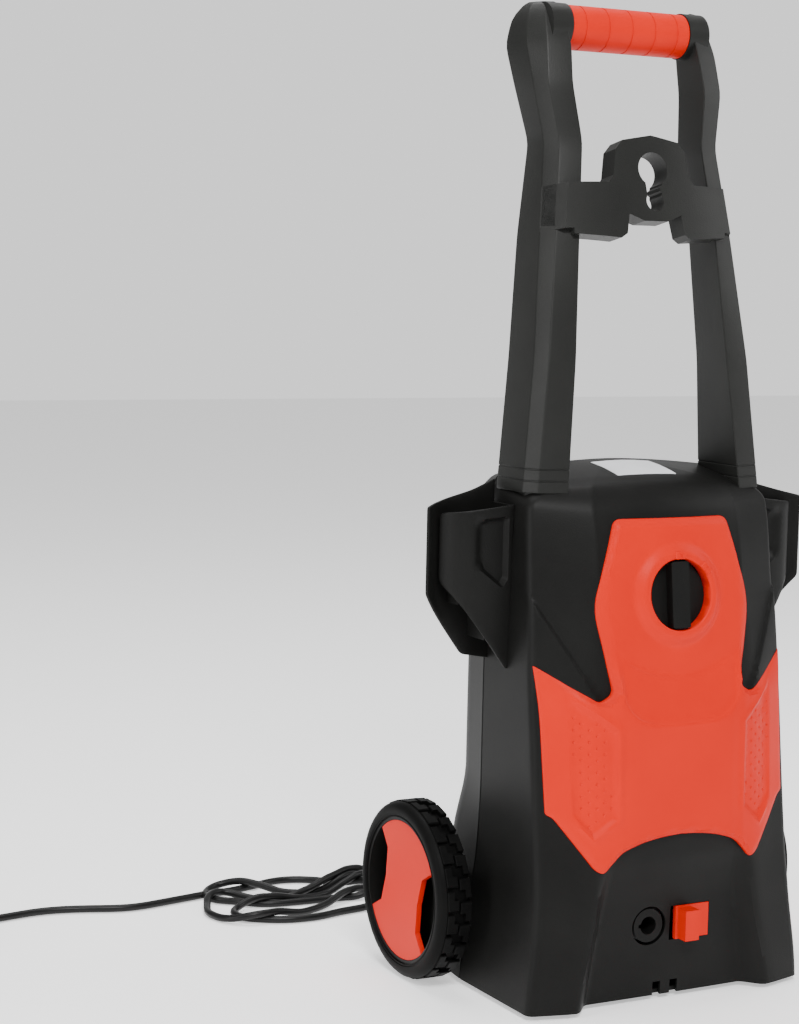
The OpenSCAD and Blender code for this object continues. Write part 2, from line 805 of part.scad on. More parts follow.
module gear_case() {
    color(aluminium) difference() {
        union() {
            at_pump(118.4) cylinder(r = case_r, h = 62);
            at_motor(150) cylinder(r = 16, h = 30);
            at_motor(178.4) cylinder(r = can_r, h = 7.6);
        }
        at_pump(110) cylinder(r = case_r - 3, h = 64.4);
        at_motor(154) cylinder(r = 11.5, h = 20.4);
        at_motor(178.4) cylinder(r = bearing_r, h = 10);
        at_motor(160) cylinder(r = 8, h = 30);
        at_pump(160) cylinder(r = axle_r + running, h = 22);
    }
}

module drive_gear() {
    color(steel) at_pump(0) {
        translate([0, 0, gear_z]) gear(gear_teeth, 10, 90 + 180 / gear_teeth);
        translate([0, 0, 107]) cylinder(r = axle_r, h = 74);
    }
}

swash_tilt = 8;

module swash_plate() {
    color(steel) at_pump(0) difference() {
        translate([0, 0, 136]) ring(27, axle_r, 20);
        translate([0, 0, 143.8]) rotate([swash_tilt, 0, 0]) translate([0, 0, -40]) cylinder(r = 60, h = 40);
    }
}

piston_foot = 96;
piston_top = 139.4;
block_top = 118;
spring_gap = 0.2;
collar_z = 134;

function piston_place(i) = [piston_circle * sin(i * 120), pump_y - piston_circle * cos(i * 120), 0];

module piston(i) {
    color(steel) translate(piston_place(i)) {
        translate([0, 0, piston_foot]) cylinder(r = piston_r, h = piston_top - piston_foot);
        translate([0, 0, collar_z]) cylinder(r = piston_r + 2.8, h = piston_top - collar_z);
    }
}

module piston_1() {
    piston(0);
}

module piston_2() {
    piston(1);
}

module piston_3() {
    piston(2);
}

// Round tube swept along a list of points, closed at both ends.
function unit(v) = v / norm(v);
function along(pts, i) = unit(pts[min(i + 1, len(pts) - 1)] - pts[max(i - 1, 0)]);
function side_of(t, up) = unit(cross(up, t));
module tube(pts, r, sides, up) {
    n = len(pts);
    skin = [for (i = [0 : n - 1]) let (t = along(pts, i), u = side_of(t, up), v = cross(t, u))
        for (k = [0 : sides - 1]) pts[i] + r * (cos(k * 360 / sides) * u + sin(k * 360 / sides) * v)];
    walls = [for (i = [0 : n - 2]) for (k = [0 : sides - 1]) let (m = (k + 1) % sides)
        each [[i * sides + k, (i + 1) * sides + k, (i + 1) * sides + m], [i * sides + k, (i + 1) * sides + m, i * sides + m]]];
    ends = [[for (k = [0 : sides - 1]) k], [for (k = [sides - 1 : -1 : 0]) (n - 1) * sides + k]];
    polyhedron(skin, concat(walls, ends), convexity = 6);
}

spring_turns = 4;
spring_wire = 0.7;
spring_r = piston_r + 1.2;

module spring(i) {
    low = block_top + spring_gap + spring_wire;
    high = collar_z - spring_gap - spring_wire;
    color(steel) translate(piston_place(i)) tube([for (k = [0 : spring_turns * 12])
        [spring_r * cos(k * 30), spring_r * sin(k * 30), low + (high - low) * k / (spring_turns * 12)]],
        spring_wire, 6, [0, 0, 1]);
}

module spring_1() {
    spring(0);
}

module spring_2() {
    spring(1);
}

module spring_3() {
    spring(2);
}

module cylinder_block() {
    color(aluminium) difference() {
        at_pump(84) cylinder(r = case_r, h = block_top - 84);
        for (i = [0 : 2]) translate(piston_place(i) + [0, 0, 88]) cylinder(r = piston_r + running, h = 40);
        at_pump(105) cylinder(r = axle_r + running, h = 20);
    }
}

module valve_head() {
    color(aluminium) difference() {
        union() {
            box([-32, pump_y - 26, 48], [32, pump_y + 26, 74]);
            at_pump(73) cylinder(r = case_r - 2, h = 10.9);
        }
        at_outlet(-40) cylinder(r = 6, h = 20);
        translate([inlet_x - 8, -6, inlet_z]) rotate([-90, 0, 0]) cylinder(r = 6.2, h = 30);
    }
}

// ---------- mains lead ----------
gland_x = -70;
gland_z = 60;
gland_end = 120;
lead_r = lead_d / 2;

module cable_gland() {
    color(black) translate([gland_x, 0, gland_z]) rotate([-90, 0, 0]) {
        translate([0, 0, 74]) cylinder(r = 8, h = 12);
        translate([0, 0, 84.4]) cylinder(r = 11, h = 3);
        translate([0, 0, 87]) cylinder(r1 = 7.4, r2 = 5, h = gland_end - 87);
    }
}

// Free stretches: out of the gland and down to the hank, from the hank to the coil, and out to the plug.
LEAD_EXIT = [[-70, 120, 60], [-70, 136, 60], [-71, 152, 52], [-73, 168, 42], [-76, 184, 30], [-79, 200, 18],
    [-82, 216, 9], [-85, 232, 5]];
LEAD_RUN = [[-252, 351, 4], [-262, 349, 4], [-272, 347, 4], [-288, 344, 4], [-304, 341, 4], [-322, 338, 4],
    [-340, 338, 4], [-356, 342, 4], [-372, 348, 4], [-390, 354, 4], [-408, 358, 4], [-426, 359, 4],
    [-444, 357, 4], [-462, 354, 4], [-480, 351, 4], [-500, 350, 4], [-520, 350, 4], [-534, 350, 4],
    [-546, 350, 4]];
LEAD_TAIL = [[-626, 273, 14], [-626, 266, 17], [-626, 259, 18], [-626, 252, 18]];
hank_lo = [-262, 232];
hank_hi = [46, 392];
hank_h = 23;
coil_at = [-575, 300];
coil_in = 30;
coil_out = 58;
coil_h = 23;
plug_x = -626;
plug_y = 252;
plug_z = 18;

module lead_exit() {
    color(black) tube(LEAD_EXIT, lead_r, 10, [1, 0, 0]);
}

module lead_run() {
    color(black) tube(LEAD_RUN, lead_r, 10, [0, 0, 1]);
}

module lead_tail() {
    color(black) tube(LEAD_TAIL, lead_r, 10, [1, 0, 0]);
}

module lead_hank() {
    r = (hank_hi[1] - hank_lo[1]) / 2;
    color(black) linear_extrude(hank_h) union() {
        for (x = [hank_lo[0] + r, hank_hi[0] - r]) translate([x, hank_lo[1] + r]) circle(r = r);
        translate([hank_lo[0] + r, hank_lo[1]]) square([hank_hi[0] - hank_lo[0] - 2 * r, 2 * r]);
    }
}

module lead_coil() {
    color(black) translate([coil_at[0], coil_at[1], 0]) ring(coil_out, coil_in, coil_h);
}

module cable_tie() {
    x0 = coil_at[0] + coil_in - 1.8;
    x1 = coil_at[0] + coil_out + 1.2;
    y = coil_at[1];
    color("#444") {
        box([x0, y - 5, coil_h], [x1, y + 5, coil_h + 1.2]);
        box([x0, y - 5, 2], [x0 + 1, y + 5, coil_h + 0.6]);
        box([x1 - 1, y - 5, 2], [x1, y + 5, coil_h + 0.6]);
    }
}

module plug_body() {
    color(black) translate([plug_x, plug_y, plug_z]) rotate([90, 0, 0]) {
        cylinder(r1 = 5, r2 = 7, h = 22);
        translate([0, 0, 20]) cylinder(r1 = 12, r2 = 17.6, h = 14);
        translate([0, 0, 33]) cylinder(r = 17.6, h = 18);
    }
}

module plug_pins() {
    color(steel) for (side = [-1, 1]) translate([plug_x + side * 9.5, plug_y - 51, plug_z]) rotate([90, 0, 0])
        cylinder(r = 2.4, h = 19);
}

placed() front_shell();
placed() rear_shell();
placed() base_plate();
placed() front_fascia();
placed() rating_label();
placed() left_side_hook();
placed() right_side_hook();
placed() shell_screws();
placed() left_arm();
placed() right_arm();
placed() cross_bar();
placed() grip_sleeve();
placed() lance_bracket();
placed() handle_screws();
placed() axle();
placed() axle_clips();
placed() left_rim();
placed() left_tyre();
placed() left_hub_cover();
placed() right_rim();
placed() right_tyre();
placed() right_hub_cover();
placed() knob();
placed() switch_body();
placed() hose_latch();
placed() outlet_socket();
placed() outlet_o_ring();
placed() outlet_pipe();
placed() inlet_nipple();
placed() inlet_pipe();
placed() motor_can();
placed() stator_core();
placed() field_windings();
placed() armature_core();
placed() armature_windings();
placed() commutator();
placed() motor_shaft();
placed() cooling_fan();
placed() motor_bearings();
placed() brush_holders();
placed() gear_case();
placed() drive_gear();
placed() swash_plate();
placed() piston_1();
placed() piston_2();
placed() piston_3();
placed() spring_1();
placed() spring_2();
placed() spring_3();
placed() cylinder_block();
placed() valve_head();
placed() cable_gland();
placed() lead_exit();
placed() lead_hank();
placed() lead_run();
placed() lead_coil();
placed() lead_tail();
placed() plug_body();
placed() plug_pins();
placed() cable_tie();
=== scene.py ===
import json
import math
import bmesh
import bpy
import numpy as np
from mathutils import Matrix, Vector
from mathutils.bvhtree import BVHTree
from mathutils.geometry import delaunay_2d_cdt


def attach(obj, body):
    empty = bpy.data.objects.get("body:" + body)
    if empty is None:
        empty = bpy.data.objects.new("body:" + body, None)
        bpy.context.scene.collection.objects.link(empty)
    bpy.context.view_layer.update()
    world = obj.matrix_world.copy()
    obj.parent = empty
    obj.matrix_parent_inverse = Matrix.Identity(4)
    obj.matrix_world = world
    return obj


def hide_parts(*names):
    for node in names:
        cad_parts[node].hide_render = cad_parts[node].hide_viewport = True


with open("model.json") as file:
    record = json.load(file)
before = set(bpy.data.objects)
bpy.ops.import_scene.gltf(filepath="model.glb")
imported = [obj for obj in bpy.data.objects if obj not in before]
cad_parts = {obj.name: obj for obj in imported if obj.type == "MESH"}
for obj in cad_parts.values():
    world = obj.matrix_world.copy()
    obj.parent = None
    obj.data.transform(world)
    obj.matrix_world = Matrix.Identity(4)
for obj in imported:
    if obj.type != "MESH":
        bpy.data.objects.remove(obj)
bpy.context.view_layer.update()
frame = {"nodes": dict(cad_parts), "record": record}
MM = 0.001
SHIFT = np.array([0.0, -7.0, 0.0])  # the design tables' own origin, in the row frame


# ---------- camera, light and floor ----------
def make_camera():
    yaw, pitch, roll = math.radians(27.617), math.radians(5.961), math.radians(1.1905)
    forward = Vector((math.sin(yaw) * math.cos(pitch), math.cos(yaw) * math.cos(pitch), -math.sin(pitch)))
    right = Vector((math.cos(yaw), -math.sin(yaw), 0.0))
    up = right.cross(forward)
    c, s = math.cos(roll), math.sin(roll)
    x_axis = c * right + s * up
    y_axis = -s * right + c * up
    data = bpy.data.cameras.new("camera")
    data.sensor_width = 36.0
    data.lens = 76.66
    data.clip_end = 30.0
    cam = bpy.data.objects.new("camera", data)
    m = Matrix((x_axis, y_axis, -forward)).transposed().to_4x4()
    m.translation = Vector((-1.0841, -1.6560, 0.6232))
    cam.matrix_world = m
    bpy.context.scene.collection.objects.link(cam)
    bpy.context.scene.camera = cam


def area_light(name, at, target, size, power):
    data = bpy.data.lights.new(name, "AREA")
    data.shape = "RECTANGLE"
    data.size, data.size_y = size
    data.energy = power
    ob = bpy.data.objects.new(name, data)
    ob.location = at
    ob.rotation_euler = (Vector(target) - Vector(at)).to_track_quat("-Z", "Y").to_euler()
    bpy.context.scene.collection.objects.link(ob)


def make_stage():
    world = bpy.data.worlds.new("studio")
    world.use_nodes = True
    nt = world.node_tree
    bg = nt.nodes["Background"]
    bg.inputs[0].default_value = (1.0, 1.0, 1.0, 1)
    facing = nt.nodes.new("ShaderNodeVectorMath")
    facing.operation = "DOT_PRODUCT"
    facing.inputs[1].default_value = (0.461, 0.881, -0.104)
    nt.links.new(nt.nodes.new("ShaderNodeTexCoord").outputs["Generated"], facing.inputs[0])
    wall = nt.nodes.new("ShaderNodeMapRange")  # a bright wall behind the machine, a dimmer room round it
    wall.inputs["From Min"].default_value = 0.72
    wall.inputs["From Max"].default_value = 0.93
    wall.inputs["To Min"].default_value = 0.36
    wall.inputs["To Max"].default_value = 1.15
    nt.links.new(facing.outputs["Value"], wall.inputs["Value"])
    nt.links.new(wall.outputs["Result"], bg.inputs[1])
    bpy.context.scene.world = world
    area_light("key", (-0.9, -2.2, 2.5), (0, 0, 0.35), (1.0, 0.7), 98)
    area_light("left", (-2.4, -0.45, 1.1), (0, 0, 0.45), (0.45, 1.8), 30)
    area_light("right", (2.2, -0.9, 1.6), (0, 0, 0.4), (0.8, 1.6), 22)
    area_light("top", (0.0, 0.6, 2.8), (0, 0, 0.4), (2.0, 1.6), 62)
    mesh = bpy.data.meshes.new("floor")
    mesh.from_pydata([(-9, -9, 0), (9, -9, 0), (9, 9, 0), (-9, 9, 0)], [], [(0, 1, 2, 3)])
    floor = bpy.data.objects.new("floor", mesh)
    m = bpy.data.materials.new("floor_paint")
    m.use_nodes = True
    p = m.node_tree.nodes["Principled BSDF"]
    p.inputs["Base Color"].default_value = (0.93, 0.93, 0.93, 1)
    p.inputs["Roughness"].default_value = 0.9
    p.inputs["Emission Color"].default_value = (1, 1, 1, 1)
    p.inputs["Emission Strength"].default_value = 0.6
    mesh.materials.append(m)
    bpy.context.scene.collection.objects.link(floor)
    floor.location.z = -0.0004


make_camera()
make_stage()


# ---------- materials ----------
def material(name, low, high, rough, grain=900.0, bump=0.12, metallic=0.0, spread=0.05, cloud=30.0,
             stretch=None, cells=0.0, spec=0.3, depth=0.0002):
    """Procedural finish: base colour clouds between low and high, grain in roughness and bump."""
    m = bpy.data.materials.new(name)
    m.use_nodes = True
    nt = m.node_tree
    p = nt.nodes["Principled BSDF"]
    p.inputs["Metallic"].default_value = metallic
    p.inputs["Specular IOR Level"].default_value = spec
    tc = nt.nodes.new("ShaderNodeTexCoord")
    source = tc.outputs["Object"]
    if stretch:
        mp = nt.nodes.new("ShaderNodeMapping")
        mp.inputs["Scale"].default_value = stretch
        nt.links.new(source, mp.inputs["Vector"])
        source = mp.outputs["Vector"]
    clouds = nt.nodes.new("ShaderNodeTexNoise")
    clouds.inputs["Scale"].default_value = cloud
    clouds.inputs["Detail"].default_value = 3.0
    nt.links.new(source, clouds.inputs["Vector"])
    ramp = nt.nodes.new("ShaderNodeValToRGB")
    ramp.color_ramp.elements[0].position = 0.3
    ramp.color_ramp.elements[1].position = 0.7
    ramp.color_ramp.elements[0].color = (*low, 1)
    ramp.color_ramp.elements[1].color = (*high, 1)
    nt.links.new(clouds.outputs["Fac"], ramp.inputs["Fac"])
    nt.links.new(ramp.outputs["Color"], p.inputs["Base Color"])
    fine = nt.nodes.new("ShaderNodeTexNoise")
    fine.inputs["Scale"].default_value = grain
    fine.inputs["Detail"].default_value = 2.0
    nt.links.new(source, fine.inputs["Vector"])
    rr = nt.nodes.new("ShaderNodeMapRange")
    rr.inputs["To Min"].default_value = rough - spread
    rr.inputs["To Max"].default_value = rough + spread
    nt.links.new(fine.outputs["Fac"], rr.inputs["Value"])
    nt.links.new(rr.outputs["Result"], p.inputs["Roughness"])
    height = fine.outputs["Fac"]
    if cells:
        vor = nt.nodes.new("ShaderNodeTexVoronoi")
        vor.inputs["Scale"].default_value = cells
        nt.links.new(source, vor.inputs["Vector"])
        add = nt.nodes.new("ShaderNodeMath")
        add.operation = "ADD"
        nt.links.new(fine.outputs["Fac"], add.inputs[0])
        nt.links.new(vor.outputs["Distance"], add.inputs[1])
        height = add.outputs[0]
    b = nt.nodes.new("ShaderNodeBump")
    b.inputs["Strength"].default_value = bump
    b.inputs["Distance"].default_value = depth
    nt.links.new(height, b.inputs["Height"])
    nt.links.new(b.outputs["Normal"], p.inputs["Normal"])
    return m


MAT = {
    "casing_black": material("casing_black", (0.0050, 0.0050, 0.0047), (0.0070, 0.0070, 0.0065), 0.46,
                             1100, 0.30, cells=900, cloud=18, spec=0.11),
    "handle_grey_black": material("handle_grey_black", (0.0095, 0.0097, 0.0089), (0.0125, 0.0128, 0.0117),
                                  0.44, 1100, 0.28, cells=900, cloud=18, spec=0.20),
    "red_plastic": material("red_plastic", (0.57, 0.0095, 0.0018), (0.61, 0.0115, 0.0024), 0.42, 1300, 0.10,
                            cloud=14, spec=0.09),
    "tyre_black": material("tyre_black", (0.0028, 0.0028, 0.0028), (0.0044, 0.0044, 0.0042), 0.50, 800, 0.22,
                           cloud=40, spec=0.05),
    "label_white": material("label_white", (0.70, 0.71, 0.73), (0.76, 0.77, 0.79), 0.42, 600, 0.04,
                            cloud=60),
    "steel": material("steel", (0.42, 0.42, 0.43), (0.58, 0.58, 0.60), 0.28, 500, 0.10, 1.0,
                      stretch=(1, 1, 9)),
    "can_steel": material("can_steel", (0.36, 0.37, 0.39), (0.52, 0.53, 0.54), 0.36, 240, 0.10, 1.0,
                          cloud=90),
    "lamination_iron": material("lamination_iron", (0.10, 0.10, 0.11), (0.22, 0.22, 0.23), 0.42, 300, 0.30,
                                1.0, stretch=(1, 1, 12)),
    "copper": material("copper", (0.52, 0.19, 0.07), (0.78, 0.34, 0.14), 0.30, 420, 0.45, 1.0,
                       stretch=(1, 1, 6)),
    "cast_aluminium": material("cast_aluminium", (0.46, 0.47, 0.48), (0.62, 0.63, 0.64), 0.50, 700, 0.35, 1.0,
                               cells=600),
    "brass": material("brass", (0.62, 0.44, 0.16), (0.80, 0.60, 0.26), 0.28, 500, 0.10, 1.0),
    "black_rubber": material("black_rubber", (0.005, 0.005, 0.005), (0.0075, 0.0075, 0.0075), 0.36, 700, 0.14,
                             cloud=50, spec=0.2),
    "tie_black": material("tie_black", (0.012, 0.012, 0.012), (0.018, 0.018, 0.018), 0.40, 700, 0.10),
}
SLOT = {s["node"]: s["material_slot"] for s in frame["record"]["subparts"]}


# ---------- mesh helpers ----------
def plain_object(name, verts, faces):
    mesh = bpy.data.meshes.new(name)
    points = [tuple((np.asarray(v) + SHIFT) * MM) for v in verts]
    mesh.from_pydata(points, [], [tuple(int(i) for i in f) for f in faces])
    mesh.validate()
    ob = bpy.data.objects.new(name, mesh)
    bpy.context.scene.collection.objects.link(ob)
    return ob


def add_piece(name, verts, faces, slot, replaces=(), sharp=32.0):
    return dress(plain_object(name, verts, faces), slot, "housing", replaces, sharp)


def dress(ob, slot, body, replaces, sharp):
    mesh = ob.data
    mesh.materials.clear()
    mesh.materials.append(MAT[slot])
    mesh.polygons.foreach_set("use_smooth", [True] * len(mesh.polygons))
    mesh.set_sharp_from_angle(angle=math.radians(sharp))
    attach(ob, body)
    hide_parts(*replaces)
    return ob


def apply_modifiers(ob):
    dg = bpy.context.evaluated_depsgraph_get()
    dg.update()
    new = bpy.data.meshes.new_from_object(ob.evaluated_get(dg), depsgraph=dg)
    old = ob.data
    ob.modifiers.clear()
    new.name = old.name
    ob.data = new
    bpy.data.meshes.remove(old)


def outward(verts, faces):
    """Faces turned so that the closed mesh has a positive volume."""
    v = np.asarray(verts, float)
    vol = 0.0
    for f in faces:
        for k in range(1, len(f) - 1):
            vol += np.dot(v[f[0]], np.cross(v[f[k]], v[f[k + 1]]))
    return faces if vol > 0 else [tuple(reversed(f)) for f in faces]


def fillet(poly, d, n=4, closed=True):
    """Corners of a 2-D or 3-D polyline rounded with set-back d (one number, or one per corner)."""
    p = [np.asarray(q, float) for q in poly]
    ds = d if hasattr(d, "__len__") else [d] * len(p)
    out = []
    for i, q in enumerate(p):
        if not closed and i in (0, len(p) - 1):
            out.append(q)
            continue
        a, b = p[i - 1], p[(i + 1) % len(p)]
        la, lb = np.linalg.norm(a - q), np.linalg.norm(b - q)
        s = min(ds[i], 0.48 * la, 0.48 * lb)
        if s < 1e-6:
            out.append(q)
            continue
        u, w = q + (a - q) / la * s, q + (b - q) / lb * s
        for k in range(n + 1):
            t = k / n
            out.append((1 - t) ** 2 * u + 2 * t * (1 - t) * q + t * t * w)
    return out


def resample(loop, step):
    """Long edges of a closed polyline split so that none is longer than step."""
    out = []
    n = len(loop)
    for i in range(n):
        a, b = np.asarray(loop[i], float), np.asarray(loop[(i + 1) % n], float)
        k = max(1, int(math.ceil(np.linalg.norm(b - a) / step)))
        out += [a + (b - a) * j / k for j in range(k)]
    return out


def edge_distance(pts, loops):
    pts = np.asarray(pts, float)
    best = np.full(len(pts), 1e9)
    for loop in loops:
        a = np.asarray(loop, float)
        b = np.roll(a, -1, axis=0)
        for p0, p1 in zip(a, b):
            e = p1 - p0
            t = np.clip(((pts - p0) @ e) / max(e @ e, 1e-12), 0, 1)
            best = np.minimum(best, np.linalg.norm(pts - (p0 + t[:, None] * e), axis=1))
    return best


def inside(pts, loop):
    pts = np.asarray(pts, float)
    a = np.asarray(loop, float)
    b = np.roll(a, -1, axis=0)
    c = np.zeros(len(pts), bool)
    for p0, p1 in zip(a, b):
        cond = (p0[1] > pts[:, 1]) != (p1[1] > pts[:, 1])
        with np.errstate(divide="ignore", invalid="ignore"):
            xi = p0[0] + (pts[:, 1] - p0[1]) * (p1[0] - p0[0]) / (p1[1] - p0[1])
        c ^= cond & (pts[:, 0] < xi)
    return c


def fill_plate(outer, holes, rim, step, extra=()):
    """2-D mesh of a plate: points, distance from its edge, triangles, and boundary loops as point numbers."""
    loops = [resample(l, step) for l in [outer, *holes]]
    pts, ids, edges = [], [], []
    for loop in loops:
        start = len(pts)
        pts += loop
        n = len(loop)
        ids.append(list(range(start, start + n)))
        edges += [(start + i, start + (i + 1) % n) for i in range(n)]
    cand = []
    for loop in loops:
        a = np.asarray(loop)
        t = np.roll(a, -1, axis=0) - np.roll(a, 1, axis=0)
        nrm = np.stack([-t[:, 1], t[:, 0]], 1)
        nrm /= np.maximum(np.linalg.norm(nrm, axis=1), 1e-9)[:, None]
        for off in (0.3 * rim, rim):
            for sgn in (1, -1):
                q = a + sgn * off * nrm
                keep = edge_distance(q, loops) > 0.93 * off
                cand += [(c, off) for c in q[keep]]
    lo, hi = np.min(loops[0], axis=0), np.max(loops[0], axis=0)
    gx, gy = np.meshgrid(np.arange(lo[0], hi[0], step), np.arange(lo[1], hi[1], step))
    gx = gx + (np.arange(gx.shape[0])[:, None] % 2) * step * 0.5
    grid = np.stack([gx.ravel(), gy.ravel()], 1)
    far_in = edge_distance(grid, loops) > rim + 0.45 * step
    for e in extra:
        e = np.asarray(e, float)
        far_in &= edge_distance(grid, [e]) > 0.6 * step
    grid = grid[far_in]
    allp = np.array([c for c, _ in cand] + list(grid) + [q for e in extra for q in resample(e, step)])
    ok = inside(allp, loops[0])
    for h in loops[1:]:
        ok &= ~inside(allp, h)
    pts += list(allp[ok])
    flat = [Vector((float(p[0]), float(p[1]))) for p in pts]
    co, _, tris, orig, _, _ = delaunay_2d_cdt(flat, edges, [], 0, 1e-5)
    co = np.array([[c.x, c.y] for c in co])
    cen = np.array([co[list(t)].mean(axis=0) for t in tris])
    keep = inside(cen, loops[0])
    for h in loops[1:]:
        keep &= ~inside(cen, h)
    tris = [tuple(t) for t, k in zip(tris, keep) if k]
    back = {}
    for new, olds in enumerate(orig):
        for o in olds:
            back[o] = new
    return co, edge_distance(co, loops), tris, [[back[i] for i in l] for l in ids]


def fix_normals(ob):
    bm = bmesh.new()
    bm.from_mesh(ob.data)
    bmesh.ops.remove_doubles(bm, verts=bm.verts, dist=1e-7)
    bmesh.ops.recalc_face_normals(bm, faces=bm.faces)
    bm.to_mesh(ob.data)
    bm.free()
    ob.data.update()


def pchip(t, y, q):
    """Smooth monotone curve through the rows of y at heights t, read at q."""
    t, y, q = np.asarray(t, float), np.asarray(y, float), np.atleast_1d(np.asarray(q, float))
    h = np.diff(t)
    d = np.diff(y, axis=0) / h[:, None]
    m = np.zeros_like(y)
    m[0], m[-1] = d[0], d[-1]
    for k in range(1, len(t) - 1):
        same = d[k - 1] * d[k] > 0
        w1, w2 = 2 * h[k] + h[k - 1], h[k] + 2 * h[k - 1]
        with np.errstate(divide="ignore", invalid="ignore"):
            mm = (w1 + w2) / (w1 / d[k - 1] + w2 / d[k])
        m[k] = np.where(same, mm, 0.0)
    i = np.clip(np.searchsorted(t, q, side="right") - 1, 0, len(t) - 2)
    s = ((q - t[i]) / h[i])[:, None]
    hh = h[i][:, None]
    return ((1 + 2 * s) * (1 - s) ** 2 * y[i] + s * (1 - s) ** 2 * hh * m[i]
            + s * s * (3 - 2 * s) * y[i + 1] + s * s * (s - 1) * hh * m[i + 1])


def smooth(x, a, b):
    """0 below a, 1 above b (a may be above b), eased between."""
    t = np.clip((np.asarray(x, float) - a) / (b - a), 0, 1)
    return t * t * (3 - 2 * t)


def loft_mesh(rings):
    verts = [p for r in rings for p in r]
    n = len(rings[0])
    faces = []
    for k in range(len(rings) - 1):
        for i in range(n):
            j = (i + 1) % n
            faces.append((k * n + i, k * n + j, (k + 1) * n + j, (k + 1) * n + i))
    faces.append(tuple(range(n - 1, -1, -1)))
    faces.append(tuple(range((len(rings) - 1) * n, len(rings) * n)))
    return verts, faces


def lathe(profile, n, at):
    """Closed ring: profile points (radius, along) turned about an axis, and put in place by at(x, y, z)."""
    m = len(profile)
    verts, faces = [], []
    for i in range(n):
        a = 2 * math.pi * i / n
        verts += [at(r * math.cos(a), r * math.sin(a), z) for r, z in profile]
    for i in range(n):
        j = (i + 1) % n
        for k in range(m):
            l = (k + 1) % m
            faces.append((i * m + k, j * m + k, j * m + l, i * m + l))
    return verts, outward(verts, faces)


# ---------- mains lead ----------
LEAD_D = 7.4


def spline(points, step):
    """Points along a smooth curve through the given ones, about step apart."""
    p = np.asarray(points, float)
    p = np.vstack([2 * p[0] - p[1], p, 2 * p[-1] - p[-2]])
    out = []
    for i in range(1, len(p) - 2):
        a, b, c, d = p[i - 1], p[i], p[i + 1], p[i + 2]
        n = max(1, int(round(np.linalg.norm(c - b) / step)))
        for k in range(n):
            t = k / n
            out.append(0.5 * (2 * b + (c - a) * t + (2 * a - 5 * b + 4 * c - d) * t * t
                              + (3 * b - a - 3 * c + d) * t ** 3))
    out.append(p[-2])
    return np.array(out)


LEAD_EXIT = [(-70, 120, 60), (-70, 136, 60), (-71, 152, 52), (-73, 168, 42), (-76, 184, 30), (-79, 200, 18),
             (-82, 216, 9), (-85, 232, 5)]
# The hank in plan: three long turns, then back across them to the far side, where the run leaves it.
HANK = [(-84, 250), (-74, 272), (-50, 290), (-16, 298), (16, 304), (36, 320), (38, 344), (20, 364),
        (-12, 372), (-45, 362), (-80, 338), (-110, 323), (-148, 317), (-172, 326), (-197, 350),
        (-212, 362), (-231, 369), (-246, 360), (-252, 345), (-248, 330), (-232, 316), (-207, 296),
        (-168, 290), (-140, 288), (-109, 283), (-75, 272), (-40, 262), (-5, 256), (22, 263), (38, 284),
        (38, 308), (24, 330), (-4, 340), (-40, 336), (-80, 322), (-130, 306), (-165, 298), (-196, 299),
        (-228, 296), (-248, 284), (-248, 264), (-230, 248), (-207, 238), (-179, 236), (-147, 243),
        (-110, 246), (-70, 242), (-30, 239), (10, 243), (36, 260), (43, 288), (40, 320), (24, 350),
        (-6, 366), (-45, 358), (-90, 338), (-135, 318), (-175, 306), (-200, 309), (-219, 325),
        (-238, 337), (-255, 330), (-265, 312), (-272, 288), (-264, 262), (-240, 247), (-207, 250),
        (-167, 263), (-130, 281), (-104, 294), (-70, 310), (-35, 324), (0, 330), (26, 320), (38, 298),
        (34, 270), (12, 252), (-20, 248), (-50, 256), (-74, 278), (-92, 310), (-105, 332), (-124, 354),
        (-146, 367), (-168, 369), (-192, 362), (-218, 355), (-238, 352)]
LEAD_RUN = [(-252, 351, 4), (-262, 349, 4), (-272, 347, 4), (-288, 344, 4), (-304, 341, 4), (-322, 338, 4),
            (-340, 338, 4), (-356, 342, 4), (-372, 348, 4), (-390, 354, 4), (-408, 358, 4), (-426, 359, 4),
            (-444, 357, 4), (-462, 354, 4), (-480, 351, 4), (-500, 350, 4), (-520, 350, 4), (-534, 350, 4),
            (-546, 350, 4)]
LEAD_TAIL = [(-626, 273, 14), (-626, 266, 17), (-626, 259, 18), (-626, 252, 18)]


def coil_points():
    """Eight tied turns: out to in on the floor, in to out above them, and two on top."""
    legs = [(90, 53.8, 4.0), (450, 44.0, 4.0), (810, 34.4, 4.0), (1080, 34.2, 4.4), (1150, 34.2, 11.5),
            (1530, 44.0, 11.5), (1890, 53.6, 11.5), (2110, 53.6, 11.8), (2190, 40.0, 19.0),
            (2500, 40.5, 19.0), (2790, 48.5, 19.0), (2915, 50.5, 18.6)]
    out = []
    for (a0, r0, z0), (a1, r1, z1) in zip(legs, legs[1:]):
        n = int(round((a1 - a0) / 15))
        for k in range(n):
            t = k / n
            e = t * t * (3 - 2 * t)
            a = math.radians(a0 + (a1 - a0) * t)
            r = r0 + (r1 - r0) * e
            out.append((-575 + r * math.cos(a), 300 + r * math.sin(a), z0 + (z1 - z0) * e))
    return out[1:]


